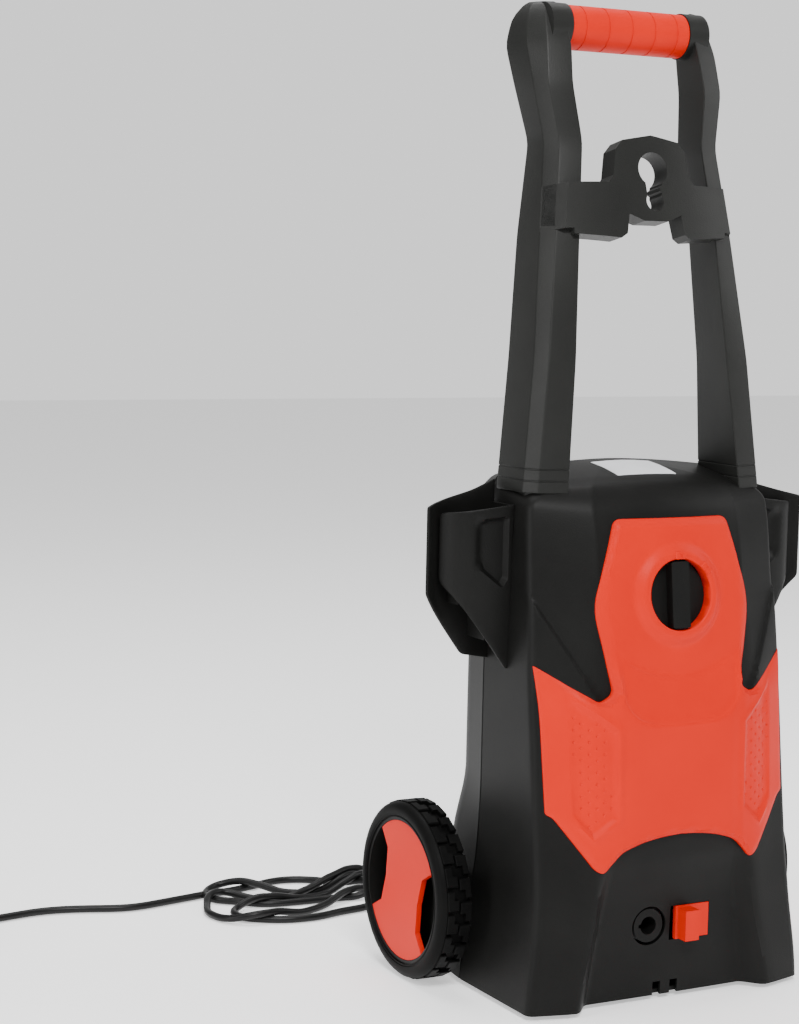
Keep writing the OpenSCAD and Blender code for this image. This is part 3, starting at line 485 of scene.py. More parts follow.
def settle(plan, rank):
    """Heights of a cord lying on itself: a stretch of higher rank rests on the ones under it."""
    d = np.linalg.norm(plan[:, None, :2] - plan[None, :, :2], axis=2)
    s = np.concatenate([[0], np.cumsum(np.linalg.norm(np.diff(plan[:, :2], axis=0), axis=1))])
    ds = np.abs(s[:, None] - s[None, :])
    near = (d < LEAD_D) & (ds > 4 * LEAD_D) & (rank[:, None] > rank[None, :])
    lift = np.where(near, np.sqrt(np.maximum(LEAD_D ** 2 - d ** 2, 0)), -1e9)
    bump = np.where(ds < 45, np.cos(np.pi / 2 * np.minimum(ds / 45, 1)) ** 2, 0)
    low = LEAD_D / 2 + 0.1
    z = np.full(len(plan), low)
    for _ in range(14):
        want = np.maximum(low, (z[None, :] + lift).max(axis=1))
        z = low + ((want - low)[None, :] * bump).max(axis=1)
    return z


def lead_piece():
    hank = spline([(x, y, 0) for x, y in HANK], 7.5)
    n = len(hank)
    rank = np.arange(n) / n
    rank[int(0.80 * n):] -= 2.0
    hank[:, 2] = settle(hank, rank)
    hank[:10, 2] = np.maximum(hank[:10, 2], np.linspace(5, 4, 10))
    pts = np.vstack([spline(LEAD_EXIT, 8)[:-1], hank, spline(LEAD_RUN, 16), coil_points(), LEAD_TAIL])
    data = bpy.data.curves.new("mains_lead", "CURVE")
    data.dimensions = "3D"
    data.bevel_depth = LEAD_D / 2 * MM
    data.bevel_resolution = 3
    data.resolution_u = 3
    data.use_fill_caps = True
    sp = data.splines.new("BEZIER")
    sp.bezier_points.add(len(pts) - 1)
    for b, p in zip(sp.bezier_points, pts):
        b.co = tuple((p + SHIFT) * MM)
        b.handle_left_type = b.handle_right_type = "AUTO"
    ob = bpy.data.objects.new("mains_lead", data)
    bpy.context.scene.collection.objects.link(ob)
    data.materials.append(MAT["black_rubber"])
    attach(ob, "housing")
    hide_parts("lead_exit", "lead_hank", "lead_run", "lead_coil", "lead_tail")
    length = np.linalg.norm(np.diff(pts, axis=0), axis=1).sum() * MM
    return ob, length


lead, lead_length = lead_piece()


def plug_piece():
    def at(x, y, z):
        return (-626 + x, 252 - z, 18 + y)

    prof = [(3.4, 0), (5.0, 0.2)]
    for k in range(5):
        z = 2 + 3.8 * k
        r = 5.2 + 0.38 * k
        prof += [(r, z), (r, z + 2.2), (r - 1.2, z + 2.6), (r - 1.0, z + 3.4)]
    prof += [(8.5, 21.5), (11.6, 22.6), (14.2, 27), (16.9, 33), (17.4, 34.4), (16.9, 35.4), (16.9, 46.5),
             (17.5, 47.6), (17.5, 49.6), (16.2, 50.9), (0.05, 50.9), (0.05, 5)]
    v, f = lathe(prof, 40, at)
    return add_piece("plug", v, f, "black_rubber", replaces=["plug_body"], sharp=40)


def tie_piece():
    x0, x1, h = -546.9, -515.7, 23.9
    outline = fillet([(x0, 1.6), (x1, 1.6), (x1, h), (x0, h)], 4.0)
    outer = fillet([(x0 - 1.2, 0.6), (x1 + 1.2, 0.6), (x1 + 1.2, h + 1.2), (x0 - 1.2, h + 1.2)], 4.6)
    n = len(outline)
    verts = [(p[0], y, p[1]) for y in (295.6, 304.4) for p in outline + outer]
    faces = []
    for i in range(n):
        j = (i + 1) % n
        faces += [(i, j, n + j, n + i), (2 * n + i, 3 * n + i, 3 * n + j, 2 * n + j),
                  (i, 2 * n + i, 2 * n + j, j), (n + i, n + j, 3 * n + j, 3 * n + i)]
    ob = add_piece("cable_tie_strap", verts, faces, "tie_black", replaces=["cable_tie"])
    fix_normals(ob)
    return ob


plug = plug_piece()
tie = tie_piece()


# ---------- casing ----------
LEVELS = [4, 16, 88, 128, 190, 274, 360, 432, 453, 462]
FLAT_LEVELS = [
    [(0, -117), (100, -116), (143, -105), (146, 8), (140, 60), (120, 84), (0, 84)],
    [(0, -117), (98, -116), (142, -105), (145, 8), (139, 60), (120, 84), (0, 84)],
    [(0, -116), (82, -115), (134, -101), (136, 8), (132, 62), (114, 84), (0, 84)],
    [(0, -115), (78, -113), (132, -96), (131, 8), (126, 66), (110, 84), (0, 84)],
    [(0, -111), (79, -109), (132, -88), (129, 8), (118, 60), (100, 80), (0, 80)],
    [(0, -105), (79, -103), (132, -78), (129, 8), (118, 60), (100, 79), (0, 79)],
]
BODY = [[(x, y, z) for x, y in row] for z, row in zip(LEVELS, FLAT_LEVELS)] + [
    [(0, -97, 360), (75, -93, 355), (129, -65, 362), (128, 8, 362), (118, 56, 362),
     (98, 77, 362), (0, 77, 362)],
    [(0, -87, 430), (75, -79.5, 430), (126, -56, 434), (126, 8, 440), (116, 52, 436),
     (96, 73, 434), (0, 73, 436)],
    [(0, -70, 453), (68, -65, 452), (114, -52, 448), (119, 8, 458), (108, 44, 453),
     (88, 61, 450), (0, 63, 454)],
    [(0, -54, 460), (56, -49.5, 459), (92, -40, 456), (100, 8, 464), (88, 34, 462),
     (70, 46, 461), (0, 48, 464)],
]
SEAM = 10.0
WHEEL_R, RIM_R = 80.5, 66.0
WHEEL_X, AXLE_Y = 157, 48  # the wheel's inner side, and its axle
TOP = np.array([0, SEAM, 470.5])


def half_section(row):
    """Rounded half section from the middle of the front to that of the back, as front and rear points."""
    p = [row[i] for i in range(7)]
    seam_t = (SEAM - p[3][1]) / (p[4][1] - p[3][1])
    p3 = p[3] + (p[4] - p[3]) * max(0.0, seam_t)

    def arc(a, q, b, d, n):
        la, lb = np.linalg.norm(a - q), np.linalg.norm(b - q)
        s = min(d, 0.45 * la, 0.45 * lb)
        u, w = q + (a - q) / la * s, q + (b - q) / lb * s
        return [(1 - t) ** 2 * u + 2 * t * (1 - t) * q + t * t * w for t in np.linspace(0, 1, n)]

    def line(a, b, n):
        return [a + (b - a) * k / n for k in range(1, n)]

    def bow(a, b, n):
        return [a + (b - a) * np.array([k / n, (k / n) ** 2, (k / n) ** 2]) for k in range(1, n)]

    d1 = float(np.interp(p[1][2], [300, 370], [14, 2.4]))
    a1, a2 = arc(p[0], p[1], p[2], d1, 7), arc(p[1], p[2], p[3], 6.5, 7)
    a4, a5 = arc(p3, p[4], p[5], 14, 6), arc(p[4], p[5], p[6], 16, 6)
    front = [p[0]] + bow(p[0], a1[0], 28) + a1 + line(a1[-1], a2[0], 30) + a2 + line(a2[-1], p3, 26) + [p3]
    rear = [p3] + line(p3, a4[0], 14) + a4 + line(a4[-1], a5[0], 8) + a5 + line(a5[-1], p[6], 28) + [p[6]]
    return front, rear


def mirror_whole(half, front):
    """Half ring to a run of points from the left seam to the right one, or from the right to the left."""
    flip = [p * np.array([-1, 1, 1]) for p in half]
    return list(reversed(flip))[:-1] + half if front else half + list(reversed(flip))[1:]


def recess_depth(x, z):
    """How far the lower front is hollowed, at half width x and height z."""
    depths = [[17.6], [17.6], [13.6], [8.2], [2.4], [0]]
    d = pchip([-10, 0, 88, 112, 132, 150], depths, np.clip(z, -10, 150))[:, 0]
    inner = np.interp(z, [0, 88, 148], [80, 68, 60])
    outer = np.interp(z, [0, 88, 148], [101, 84, 78])
    return d * (1 - smooth(np.abs(x), inner, outer)) * (z < 150)


CREASE = (np.array([133.0, 367.0]), np.array([79.0, 272.0]))


def crease_step(x, z):
    """Raised lower side of the slanting crease that runs from each hook to the fascia's notch."""
    a, b = CREASE
    e = (b - a) / np.linalg.norm(b - a)
    p = np.stack([np.abs(x), z], 1) - a
    along = p @ e / np.linalg.norm(b - a)
    side = p @ np.array([-e[1], e[0]])
    ends = smooth(along, -0.02, 0.06) * (1 - smooth(along, 0.95, 1.06))
    return 3.0 * smooth(side, -1.3, 1.3) * (1 - smooth(side, 2, 40)) * ends


def rows_of_body(step):
    cols = np.array([[list(p) for p in lvl] for lvl in BODY], float)
    ts = list(np.arange(4, 430, step)) + list(np.linspace(430, 462, 15))
    rows = []
    for i in range(7):
        rows.append(pchip(LEVELS, cols[:, i, :], ts))
    rows = np.array(rows).transpose(1, 0, 2)
    out = list(rows)
    last = rows[-1]
    for k in range(1, 15):
        t = k / 14.5
        h = last + (TOP - last) * np.array([t, t, 0])
        h[:, 2] = last[:, 2] + (TOP[2] - last[:, 2]) * (1 - (1 - t) ** 1.6)
        out.append(h)
    return out


ROWS = rows_of_body(2.4)


def shell_sheet(front, hollowed=True):
    rings = []
    for row in ROWS:
        f, r = half_section(row)
        half = f if front else r
        ring = np.array(mirror_whole(half, front))
        gap = np.abs(ring[:, 1] - SEAM)
        ring[:, 1] += (-0.3 if front else 0.3) * np.clip(1 - gap / 3, 0, 1)
        for i, k in ((0, 1), (-1, -2)):
            far = max(np.linalg.norm(ring[k] - ring[i]), 1e-6)
            ring[k, :] = ring[i, :] + (ring[k, :] - ring[i, :]) / far * min(1.0, 0.8 * far)
            ring[i, 0] -= np.sign(ring[i, 0]) * min(0.7, far, abs(ring[i, 0]))
        if front and hollowed:
            ring[:, 1] += recess_depth(ring[:, 0], ring[:, 2]) * (ring[:, 1] < -90)
            ring[:, 1] -= crease_step(ring[:, 0], ring[:, 2]) * (ring[:, 1] < -40)
        rings.append(ring)
    n = len(rings[0])
    verts = [p for ring in rings for p in ring]
    faces = []
    for k in range(len(rings) - 1):
        for i in range(n - 1):
            a, b, c, d = k * n + i, k * n + i + 1, (k + 1) * n + i + 1, (k + 1) * n + i
            faces.append((a, b, c, d))
    apex = len(verts)
    verts.append(TOP + np.array([0, (SEAM - 0.3 if front else SEAM + 0.3) - TOP[1], 0]))
    for i in range(n - 1):
        faces.append(((len(rings) - 1) * n + i, (len(rings) - 1) * n + i + 1, apex))
    return verts, faces


def skin_tree():
    """What the fascia and label are laid on: the front of the casing without its hollow."""
    v, f = shell_sheet(True, hollowed=False)
    return BVHTree.FromPolygons([Vector(p) for p in v], f)


TREE = skin_tree()


def front_y(x, z):
    hit, _, _, _ = TREE.ray_cast(Vector((x, -250, z)), Vector((0, 1, 0)))
    if hit is None:
        hit, _, _, _ = TREE.find_nearest(Vector((x, -110, z)))
    return hit.y


def box_faces(lo, hi):
    x0, y0, z0 = lo
    x1, y1, z1 = hi
    v = [(x, y, z) for z in (z0, z1) for x, y in ((x0, y0), (x1, y0), (x1, y1), (x0, y1))]
    f = [(3, 2, 1, 0), (4, 5, 6, 7), (0, 1, 5, 4), (1, 2, 6, 5), (2, 3, 7, 6), (3, 0, 4, 7)]
    return v, f


def prism_y(outline, y0, y1):
    n = len(outline)
    v = [(p[0], y0, p[1]) for p in outline] + [(p[0], y1, p[1]) for p in outline]
    f = [tuple(range(n)), tuple(range(2 * n - 1, n - 1, -1))]
    f += [(i, n + i, n + (i + 1) % n, (i + 1) % n) for i in range(n)]
    return v, outward(v, f)


def circle(cx, cz, r, n=48):
    return [(cx + r * math.cos(2 * math.pi * k / n), cz + r * math.sin(2 * math.pi * k / n))
            for k in range(n)]


def join_solids(name, solids):
    verts, faces = [], []
    for v, f in solids:
        base = len(verts)
        verts += [np.asarray(p, float) for p in v]
        faces += [tuple(i + base for i in q) for q in f]
    return plain_object(name, verts, faces)


def carve(ob, solids):
    cutter = join_solids("cutter", solids)
    mod = ob.modifiers.new("cut", "BOOLEAN")
    mod.operation = "DIFFERENCE"
    mod.solver = "EXACT"
    mod.use_self = True
    mod.object = cutter
    apply_modifiers(ob)
    mesh = cutter.data
    bpy.data.objects.remove(cutter)
    bpy.data.meshes.remove(mesh)


ARM = [
    (400, [(92, -58), (114, -50), (121, -40), (121, 2), (92, 2)]),
    (446, [(92, -58), (114, -50), (121, -40), (121, 2), (92, 2)]),
    (447, [(90, -62), (116, -54), (125, -42), (125, 4), (90, 3)]),
    (562, [(79, -51), (104, -47), (112, -34), (111, 13), (85, 5)]),
    (669, [(71, -38), (92, -32), (100, -18), (99, 24), (77, 12)]),
    (750, [(62, -24), (82, -18), (90, -4), (88, 28), (68, 22)]),
    (800, [(69, -17), (91, -11), (98, 3), (97, 39), (72, 29)]),
    (835, [(66, -8), (88, -3), (100, 13), (103, 46), (72, 36)]),
    (860, [(67, 4), (84, 8), (95, 22), (98, 44), (72, 37)]),
    (872, [(69, 12), (80, 15), (87, 24), (88, 36), (72, 32)])]


def socket_solid(side):
    ring = ARM[0][1]
    cx, cy = 106, -25
    ring = [(p[0] + 0.5 * np.sign(p[0] - cx), p[1] + 0.5 * np.sign(p[1] - cy)) for p in ring]
    v, f = loft_mesh([[np.array([side * x, y, z]) for x, y in ring] for z in (398, 480)])
    return v, outward(v, f)


def make_shells():
    out = []
    for front in (True, False):
        v, f = shell_sheet(front)
        ob = plain_object("front_casing" if front else "rear_casing", v, f)
        mod = ob.modifiers.new("wall", "SOLIDIFY")
        mod.thickness = 2.6 * MM
        mod.offset = -1.0
        mod.use_even_offset = False
        apply_modifiers(ob)
        if front:
            cuts = [box_faces((2.9, -125, 52.4), (44.1, -90, 83.6)),
                    prism_y(circle(-19, 68, 17.5), -125, -85),
                    box_faces((-12, -122, -1), (-4, -85, 16)), box_faces((6, -122, -1), (14, -85, 16)),
                    prism_y(circle(0, 362, 36), -125, -70), socket_solid(1), socket_solid(-1)]
            carve(ob, cuts)
        else:
            cuts = []
            for side in (-1, 1):
                for row in range(7):
                    z = 230 + 12 * row
                    x0, x1 = side * 34 - 23, side * 34 + 23
                    vent = fillet([(x0, z), (x1, z), (x1, z + 5), (x0, z + 5)], 2.4, 3)
                    cuts.append(prism_y(vent, 60, 100))
            cuts += [prism_y(circle(30, 58, 11.2), 60, 110), prism_y(circle(-70, 60, 8.2), 60, 110)]
            for s in ((98, 84, 40), (94, 82, 190), (90, 79, 330), (106, 80, 424)):
                for side in (-1, 1):
                    cuts.append(prism_y(circle(side * s[0], s[2], 5, 24), s[1] - 22, s[1] + 20))
            carve(ob, cuts)
            bosses = []
            for side in (-1, 1):
                for s in ((98, 84, 40), (94, 82, 190), (90, 79, 330)):
                    bosses.append(tube_solid((side * s[0], s[1] - 1.5, s[2]), (0, -1, 0), 6.8, 5, s[1] - 36))
                bosses.append(tube_solid((side * 126, AXLE_Y, WHEEL_R), (side, 0, 0), 13, 5.2, 29))
            add = join_solids("bosses", bosses)
            join_into(ob, add)
        out.append(dress(ob, "casing_black", "housing", ["front_shell"] if front else ["rear_shell"], 34))
    return out


def frame_of(axis):
    a = np.asarray(axis, float)
    a /= np.linalg.norm(a)
    u = np.cross(a, [0, 0, 1.0]) if abs(a[2]) < 0.9 else np.cross(a, [1.0, 0, 0])
    u /= np.linalg.norm(u)
    return u, np.cross(a, u), a


def tube_solid(start, axis, r_out, r_in, length, n=32, round_end=0.8):
    """Closed tube from start along axis."""
    u, w, a = frame_of(axis)
    s = np.asarray(start, float)

    def at(x, y, z):
        return s + x * u + y * w + z * a

    prof = [(r_in, 0), (r_out - round_end, 0), (r_out, round_end), (r_out, length - round_end),
            (r_out - round_end, length), (r_in, length)]
    return lathe(prof, n, at)


def join_into(ob, other):
    """Adds the other mesh's closed solids to ob's mesh."""
    bm = bmesh.new()
    bm.from_mesh(ob.data)
    bm.from_mesh(other.data)
    bm.to_mesh(ob.data)
    bm.free()
    mesh = other.data
    bpy.data.objects.remove(other)
    bpy.data.meshes.remove(mesh)


make_shells()


# ---------- fascia ----------
def outline_half():
    pts = [(58, 426.4, 7), (81, 351, 16), (66, 278, 6), (79, 270.5, 5), (129.4, 302, 1.5), (126, 262, 14),
           (124.2, 176, 2.5), (118, 172.6, 3), (84.5, 127.5, 4), (77, 123.4, 4), (70, 131, 6), (60, 141.5, 8),
           (40, 148.6, 12), (18, 152, 10)]
    line = [(0, 426.4)] + [p[:2] for p in pts] + [(0, 153)]
    return fillet(line, [0] + [p[2] for p in pts] + [0], 5, closed=False)


def whole_outline():
    half = outline_half()
    return half + [np.array([-p[0], p[1]]) for p in reversed(half[1:-1])]


POCKET = [(67, 247), (66, 172), (87, 156), (104, 176), (108, 278)]
KNOB = np.array([0, -107, 361])
KC, KS = math.cos(math.radians(6.6)), math.sin(math.radians(6.6))


def ring_points(r, step):
    n = max(12, int(2 * math.pi * r / step))
    return [(r * math.cos(2 * math.pi * k / n), 361 + KC * r * math.sin(2 * math.pi * k / n))
            for k in range(n)]


def lip_z(x):
    return 289 + 16 * (np.abs(x) / 55) ** 2


def step_z(x):
    return 285 - 34 * np.sqrt(np.maximum(1 - (np.minimum(np.abs(x), 61) / 61) ** 4, 0))


def dot_places():
    poly = np.array(POCKET, float)
    out = []
    for i in range(8):
        for j in range(24):
            p = np.array([70.5 + 6.2 * i, 160 + 10.4 * j + (5.2 if i % 2 else 0)])
            if inside([p], poly)[0] and edge_distance([p], [poly])[0] > 4.2 and p[0] < 104:
                out.append(p)
    return out


def edge_x(z):
    return np.interp(z, [278, 351, 426], [66, 81, 58])


def ridge_x(z):
    return np.interp(z, [278, 285, 308, 351, 395, 426], [62, 62.5, 64.5, 69, 67.4, 57.4])


def relief(x, z, edge):
    """Height of the fascia's modelling above its plain skin."""
    x, z = np.abs(np.asarray(x, float)), np.asarray(z, float)
    ramp = np.clip((lip_z(x) - z) / np.maximum(lip_z(x) - step_z(x), 5), 0, 1)
    level = 3.4 + (1.2 + np.interp(z, [150, 251], [0.0, 3.6])) * ramp
    column = np.clip((edge_x(z) - x) / np.maximum(edge_x(z) - ridge_x(z), 0.6), 0, 1)
    column = column * np.clip((426.4 - z) / 5.5, 0, 1)
    lower = np.clip((127 - x) / 60, 0, 1)
    w = smooth(z, 300, 268)
    h = 1.0 + level * (column * (1 - w) + lower * w) * np.clip(edge / 3.0, 0.35, 1)
    pts = np.stack([x, z], 1)
    u_line = [np.array([v, float(step_z(v))]) for v in np.linspace(-61, 61, 90)]
    u_line = [np.array([-61, 330.0])] + u_line + [np.array([61, 330.0])]
    from_u = edge_distance(pts, [u_line]) * np.where(inside(pts, u_line), -1, 1)
    h = h + 1.1 * smooth(from_u, -1.2, 1.2) * (1 - smooth(z, 284, 296)) * (1 - smooth(x, 62, 72))
    h = h + 0.8 * smooth(lip_z(x) - z, -1.2, 1.2) * (1 - smooth(x, 50, 60))
    poly = np.array(POCKET, float)
    d = edge_distance(pts, [poly])
    isin = inside(pts, poly)
    fade = 1 - smooth(x, 96, 107)
    h = h - np.where(isin, 2.6 * smooth(d, 0, 2.6), 0) * fade
    h = h + np.where(~isin, 1.0 * np.clip(1 - np.abs(d - 2.2) / 2.2, 0, 1) ** 0.8, 0) * fade
    return h


def make_fascia():
    outer = whole_outline()
    dots = dot_places()
    extra = []
    for r in (32.2, 33.4, 35.0, 37.0, 39.0, 41.0, 43.0, 45.0, 47.0):
        extra.append(ring_points(r, 2.6))
    for sgn in (1, -1):
        poly = [np.array([sgn * p[0], p[1]]) for p in POCKET]
        c = np.mean(poly, axis=0)
        for off in (0.0, 1.6, 3.2, -2.2, -4.4):
            shifted = [p + (c - p) / np.linalg.norm(c - p) * off * 1.25 for p in poly]
            extra.append(resample(shifted, 2.2))
        for p in dots:
            q = np.array([sgn * p[0], p[1]])
            ring = [q + r * np.array([math.cos(a), math.sin(a)]) for r in (0.9, 1.6) for a in
                    np.arange(6) * math.pi / 3 + r]
            extra.append([q] + ring)
    xs = np.linspace(-60, 60, 60)
    for off in (-1.3, 0.0, 1.3):
        extra.append([np.array([x, float(step_z(x)) + off]) for x in xs])
        extra.append([np.array([x, float(lip_z(x)) + off]) for x in xs])
    for sgn in (1, -1):
        extra.append([np.array([sgn * float(ridge_x(z)), z]) for z in np.linspace(280, 400, 60)])
    extra.append([np.array([x, 420.9]) for x in np.linspace(-56, 56, 50)])
    hole = ring_points(31.2, 2.2)
    co, _, tris, loops = fill_plate(outer, [hole], 1.0, 3.0, extra)
    rim_d = edge_distance(co, [outer])
    h = relief(co[:, 0], co[:, 1], rim_d)
    dimple = np.zeros(len(co))
    for sgn in (1, -1):
        for p in dots:
            d = np.hypot(co[:, 0] - sgn * p[0], co[:, 1] - p[1])
            dimple = np.maximum(dimple, 1.3 * np.clip(1 - d / 1.6, 0, 1))
    skin = np.array([front_y(x, z) for x, z in co])
    v = (co[:, 1] - 361) / KC
    rho = np.hypot(co[:, 0], v)
    plane = KNOB[1] + KS * v
    w = 1 - smooth(rho, 35.2, 47.0)
    y = skin - 0.9 - h + dimple
    y = y * (1 - w) + plane * w
    lip = np.clip(1 - (rho - 31.2) / 1.3, 0, 1)
    y = y + 1.1 * lip ** 2
    edge_drop = np.where(rim_d < 1.0, 1.0 - np.sqrt(np.maximum(1 - (1 - rim_d) ** 2, 0)), 0)
    y = y + edge_drop * 0.9
    near = rho < 35.4
    back = np.where(near, plane + 12.5, skin + 0.3)
    n = len(co)
    verts = [(c[0], yy, c[1]) for c, yy in zip(co, y)] + [(c[0], yy, c[1]) for c, yy in zip(co, back)]
    faces = list(tris) + [tuple(reversed([i + n for i in t])) for t in tris]
    for loop in loops:
        m = len(loop)
        faces += [(loop[i], loop[(i + 1) % m], loop[(i + 1) % m] + n, loop[i] + n) for i in range(m)]
    ob = add_piece("fascia", verts, faces, "red_plastic", replaces=["front_fascia"], sharp=38)
    fix_normals(ob)
    return ob


def knob_at(u, v, h):
    """Point at u across, v up the panel and h out of the collar's front plane."""
    return (u, KNOB[1] - KC * h + KS * v, KNOB[2] + KS * h + KC * v)


def make_marks():
    solids = []
    for turn, kind in ((0, "ring"), (-50, "bar")):
        a = math.radians(turn)

        def at(x, y, z, a=a):
            u, v = x, 34.0 + y
            return knob_at(u * math.cos(a) - v * math.sin(a), u * math.sin(a) + v * math.cos(a), z)

        pad = fillet([(-5, -3.2), (5, -3.2), (5.6, 3.6), (-5.6, 3.6)], 1.0, 3)
        low = [at(p[0], p[1], -0.6) for p in pad]
        mid = [at(p[0], p[1], 0.25) for p in pad]
        top = [at(p[0] * 0.9, p[1] * 0.86, 1.1) for p in pad]
        v, f = loft_mesh([low, mid, top])
        solids.append((v, outward(v, f)))
        if kind == "ring":
            prof = [(1.1, 0.9), (1.9, 0.9), (1.8, 1.7), (1.2, 1.7)]
            v, f = lathe(prof, 20, lambda x, y, z: at(x * 0.85, y * 1.25, z))
            solids.append((v, outward(v, f)))
        else:
            v, f = box_faces((-0.4, -2.2, 0.9), (0.4, 2.2, 1.7))
            v = [at(*p) for p in v]
            solids.append((v, outward(v, f)))
    ob = join_solids("dial_marks", solids)
    return dress(ob, "red_plastic", "housing", [], 30)


make_fascia()
make_marks()


def top_z(x, y):
    hit, _, _, _ = TREE.ray_cast(Vector((x, y, 560)), Vector((0, 0, -1)))
    return hit.z


def make_label():
    outer = fillet([(-32, -49.5), (30, -49.5), (30, -4), (-32, -4)], 1.5, 4)
    co, _, tris, loops = fill_plate(outer, [], 0.8, 4.0)
    n = len(co)
    zs = np.array([top_z(x, y) for x, y in co])
    verts = [(c[0], c[1], z + 0.35) for c, z in zip(co, zs)] + [(c[0], c[1], z - 0.1) for c, z in zip(co, zs)]
    faces = list(tris) + [tuple(reversed([i + n for i in t])) for t in tris]
    for loop in loops:
        m = len(loop)
        faces += [(loop[i], loop[(i + 1) % m], loop[(i + 1) % m] + n, loop[i] + n) for i in range(m)]
    ob = add_piece("label", verts, faces, "label_white", replaces=["rating_label"])
    fix_normals(ob)
    return ob


make_label()


# ---------- handle ----------
def arm_ring(pts):
    return fillet([np.array(p, float) for p in pts], [1.5, 1.2, 1.4, 3.5, 2.5])


def make_arm(side):
    levels = [z for z, _ in ARM[2:]]
    cols = np.array([[list(p) for p in ring] for _, ring in ARM[2:]], float)
    zs = [447.0, 447.6] + list(np.arange(450, 456, 2.0))
    for g in (457.0, 467.0):
        zs += [g - 0.5, g - 0.1, g + 0.3, g + 0.7, g + 1.2]
    zs += [460, 464] + list(np.arange(472, 868, 6.0)) + [868.5, 870.5, 872.0]
    zs = sorted(zs)
    rings = []
    for z in (400.0, 446.6):
        rings.append([np.array([p[0], p[1], z]) for p in arm_ring(ARM[0][1])])
    for z in zs:
        pts = np.array([[np.mean([np.interp(z + o, levels, cols[:, i, k]) for o in (-6, -2, 2, 6)])
                         for k in (0, 1)] for i in range(5)])
        inset = 0.0
        for g in (457.0, 467.0):
            if g - 0.2 <= z <= g + 0.8:
                inset = 0.7
        if z < 447.5:
            inset = 0.5
        if z > 868:
            inset = {868.5: 0.5, 870.5: 1.8, 872.0: 4.2}[z]
        ring = arm_ring(pts)
        cc = np.mean(ring, axis=0)
        ring = [p + (cc - p) / np.linalg.norm(cc - p) * inset for p in ring]
        rings.append([np.array([p[0], p[1], z]) for p in ring])
    rings = [[np.array([side * p[0], p[1], p[2]]) for p in r] for r in rings]
    v, f = loft_mesh(rings)
    f = outward(v, f)
    name = "left" if side < 0 else "right"
    return add_piece(f"{name}_handle_arm", v, f, "handle_grey_black", replaces=[f"{name}_arm"], sharp=33)


for which in (-1, 1):
    make_arm(which)


# ---------- wheels ----------
def wheel_at(side):
    def at(x, y, z):
        return (side * (WHEEL_X + z), AXLE_Y + y, WHEEL_R + x)
    return at


def lug(side, a0, shape):
    """Block on the tread: shape is its outline in degrees round the tyre and millimetres across it."""
    c = np.mean(shape, axis=0)
    rings = []
    for r, k in ((WHEEL_R - 4.2, 1.06), (WHEEL_R - 0.7, 1.0), (WHEEL_R, 0.90)):
        ring = []
        for p in shape:
            q = c + (np.asarray(p, float) - c) * k
            a = math.radians(a0 + q[0])
            ring.append(wheel_at(side)(r * math.cos(a), r * math.sin(a), min(max(q[1], 0.8), 30.6)))
        rings.append(ring)
    v, f = loft_mesh(rings)
    return v, outward(v, f)


def make_tyre(side):
    prof = [(RIM_R, 0.6), (RIM_R + 1.4, 0), (72, 0), (75.5, 1.2), (76.6, 4.0), (76.6, 22.8), (78.6, 23.6),
            (79.2, 25.4), (78.6, 28.0), (76.4, 30.4), (73.4, 31.7), (70.6, 32.0), (68.6, 31.7), (67.9, 31.0),
            (67.0, 31.0), (RIM_R + 0.2, 31.6), (RIM_R, 31.2)]
    solids = [lathe(prof, 120, wheel_at(side))]
    pitch = 15.0
    outer = [(0, 24.6), (12.3, 24.6), (12.3, 18.4), (6.6, 18.4), (6.6, 13.8), (0, 13.8)]
    inner = [(0, 1.4), (12.3, 1.4), (12.3, 12.2), (5.4, 12.2), (5.4, 7.2), (0, 7.2)]
    for k in range(24):
        solids.append(lug(side, k * pitch, outer))
        solids.append(lug(side, k * pitch + 7.5, inner))
    ob = join_solids(("left" if side < 0 else "right") + "_tread", solids)
    body = "left_wheel" if side < 0 else "right_wheel"
    return dress(ob, "tyre_black", body, [("left" if side < 0 else "right") + "_tyre"], 30)


for which in (-1, 1):
    make_tyre(which)


# ---------- side hooks ----------
def swept_plate(curve, outline, thick, rim, step, relief=None, extra=()):
    """Solid sheet over a plan curve: its outline is in x and z, and relief(x, z) moves it backwards."""
    fine = spline([(x, y, 0) for x, y in curve], 1.0)[:, :2]
    s = np.concatenate([[0], np.cumsum(np.linalg.norm(np.diff(fine, axis=0), axis=1))])
    tan = np.gradient(fine, axis=0)
    tan /= np.linalg.norm(tan, axis=1)[:, None]
    nrm = np.stack([tan[:, 1], -tan[:, 0]], 1)

    def to_s(p):
        return np.array([np.interp(p[0], fine[:, 0], s), p[1]])

    outer = [to_s(p) for p in resample(outline, 4.0)]
    more = [[to_s(p) for p in resample(e, 2.2)] for e in extra]
    co, dist, tris, loops = fill_plate(outer, [], rim, step, more)
    at = np.stack([np.interp(co[:, 0], s, fine[:, k]) for k in (0, 1)], 1)
    nn = np.stack([np.interp(co[:, 0], s, nrm[:, k]) for k in (0, 1)], 1)
    back = np.zeros(len(co)) if relief is None else relief(at[:, 0], co[:, 1])
    drop = np.where(dist < rim, rim - np.sqrt(np.maximum(rim ** 2 - (rim - dist) ** 2, 0)), 0)
    half = thick / 2 - drop
    verts = []
    for sgn in (1, -1):
        off = at + nn * (sgn * half)[:, None]
        verts += [np.array([p[0], p[1] + b, z]) for p, b, z in zip(off, back, co[:, 1])]
    n = len(co)
    faces = list(tris) + [tuple(reversed([i + n for i in t])) for t in tris]
    for loop in loops:
        m = len(loop)
        faces += [(loop[i], loop[(i + 1) % m], loop[(i + 1) % m] + n, loop[i] + n) for i in range(m)]
    return verts, outward(verts, faces)


WINDOW = [(163, 423), (131.5, 426), (131.5, 371), (137, 363), (163, 384)]


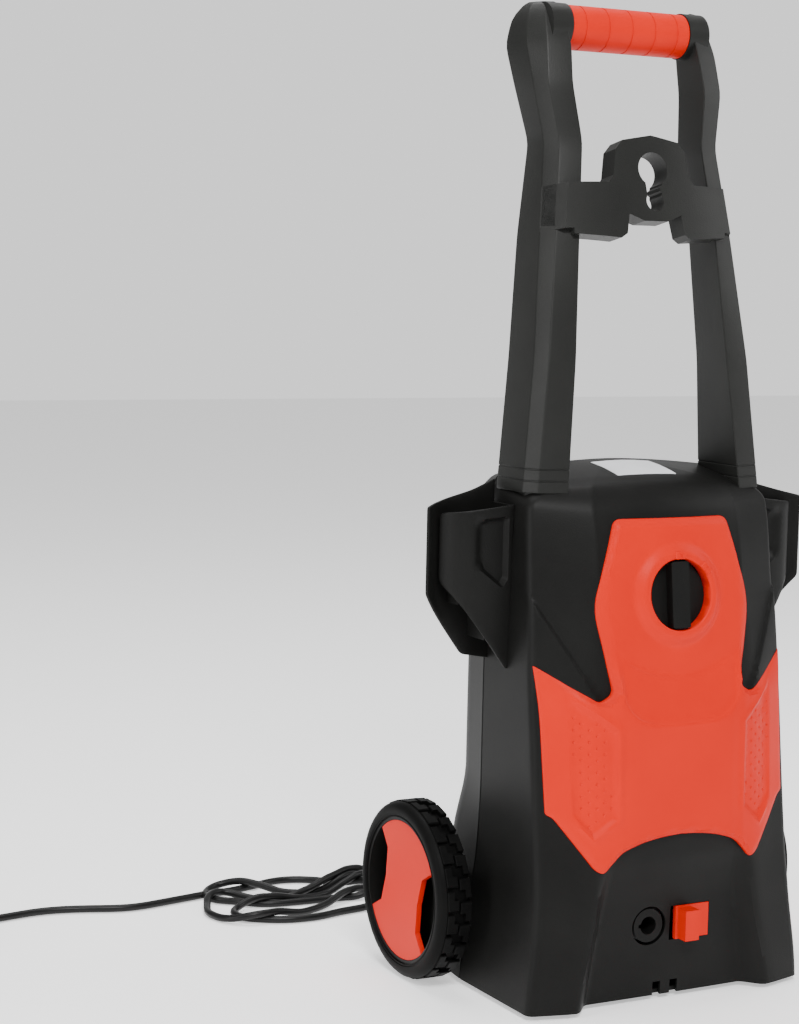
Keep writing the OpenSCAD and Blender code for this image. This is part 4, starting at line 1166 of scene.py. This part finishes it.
def window_relief(x, z):
    pts = np.stack([x, z], 1)
    d = edge_distance(pts, [WINDOW])
    ramp = np.interp(x, [130, 150, 163], [1.6, 3.5, 14])
    return np.where(inside(pts, WINDOW), 5.2 * np.clip(d / ramp, 0, 1), 0)


def make_hook(side):
    wall = [(127.2, -32.4), (138, -31.8), (149, -30.3), (158, -28.2), (167, -25.2), (173, -22.0),
            (178.4, -17.4), (182.4, -12.0), (185.2, -6.6)]
    front = fillet([(127.2, 436), (185.2, 428.2), (185.2, 367), (132, 292.4), (127.2, 292.4)],
                   [0.5, 4, 6, 1.5, 0.5])
    plate = [(127.2, 1.5), (150, 1.5), (170, 1.4), (178, 0.4), (185, -1.6), (191, -4.6), (196, -8.0),
             (199, -10.2)]
    rear = fillet([(127.2, 455.6), (150, 446), (199, 433.4), (199, 357.4), (157.6, 301.4), (127.2, 296.2)],
                  [0.5, 8, 2, 3, 4, 0.5])
    solids = [swept_plate(wall, front, 3.0, 1.2, 3.4, window_relief,
                          [WINDOW, [(134.5, 422.5), (158, 420.5), (158, 386), (137.5, 368), (134.5, 373)]]),
              swept_plate(plate, rear, 3.0, 1.2, 4.0)]
    for x, y0, lo, hi in ((150, -29.6, 318, 371), (150, -24.4, 371, 428), (172, -21.4, 349, 424)):
        solids.append(box_faces((x, y0, lo), (x + 2, 0.6, hi)))
    solids.append(box_faces((126.4, -32.6, 296.6), (130.8, 1.6, 435.4)))
    flipped = []
    for v, f in solids:
        v = [np.array([side * p[0], p[1], p[2]]) for p in v]
        flipped.append((v, outward(v, f)))
    name = "left" if side < 0 else "right"
    ob = join_solids(f"{name}_hook", flipped)
    return dress(ob, "casing_black", "housing", [f"{name}_side_hook"], 32)


for which in (-1, 1):
    make_hook(which)


# ---------- everything else keeps its drawn shape ----------
def finish_cad_nodes():
    sizes = {"lance_bracket": 1.6, "knob": 0.8, "cross_bar": 1.0, "outlet_socket": 0.6, "inlet_nipple": 0.6,
             "cable_gland": 0.6, "hose_latch": 0.8}
    for name, ob in frame["nodes"].items():
        if ob.hide_render:
            continue
        slot = SLOT[name]
        ob.data.materials.clear()
        ob.data.materials.append(MAT[slot])
        width = sizes.get(name, 0.25)
        mod = ob.modifiers.new("edges", "BEVEL")
        mod.width = width * MM
        mod.segments = 2
        mod.limit_method = "ANGLE"
        mod.angle_limit = math.radians(40)
        mod.use_clamp_overlap = True
        ob.data.polygons.foreach_set("use_smooth", [True] * len(ob.data.polygons))
        ob.data.set_sharp_from_angle(angle=math.radians(35))


finish_cad_nodes()
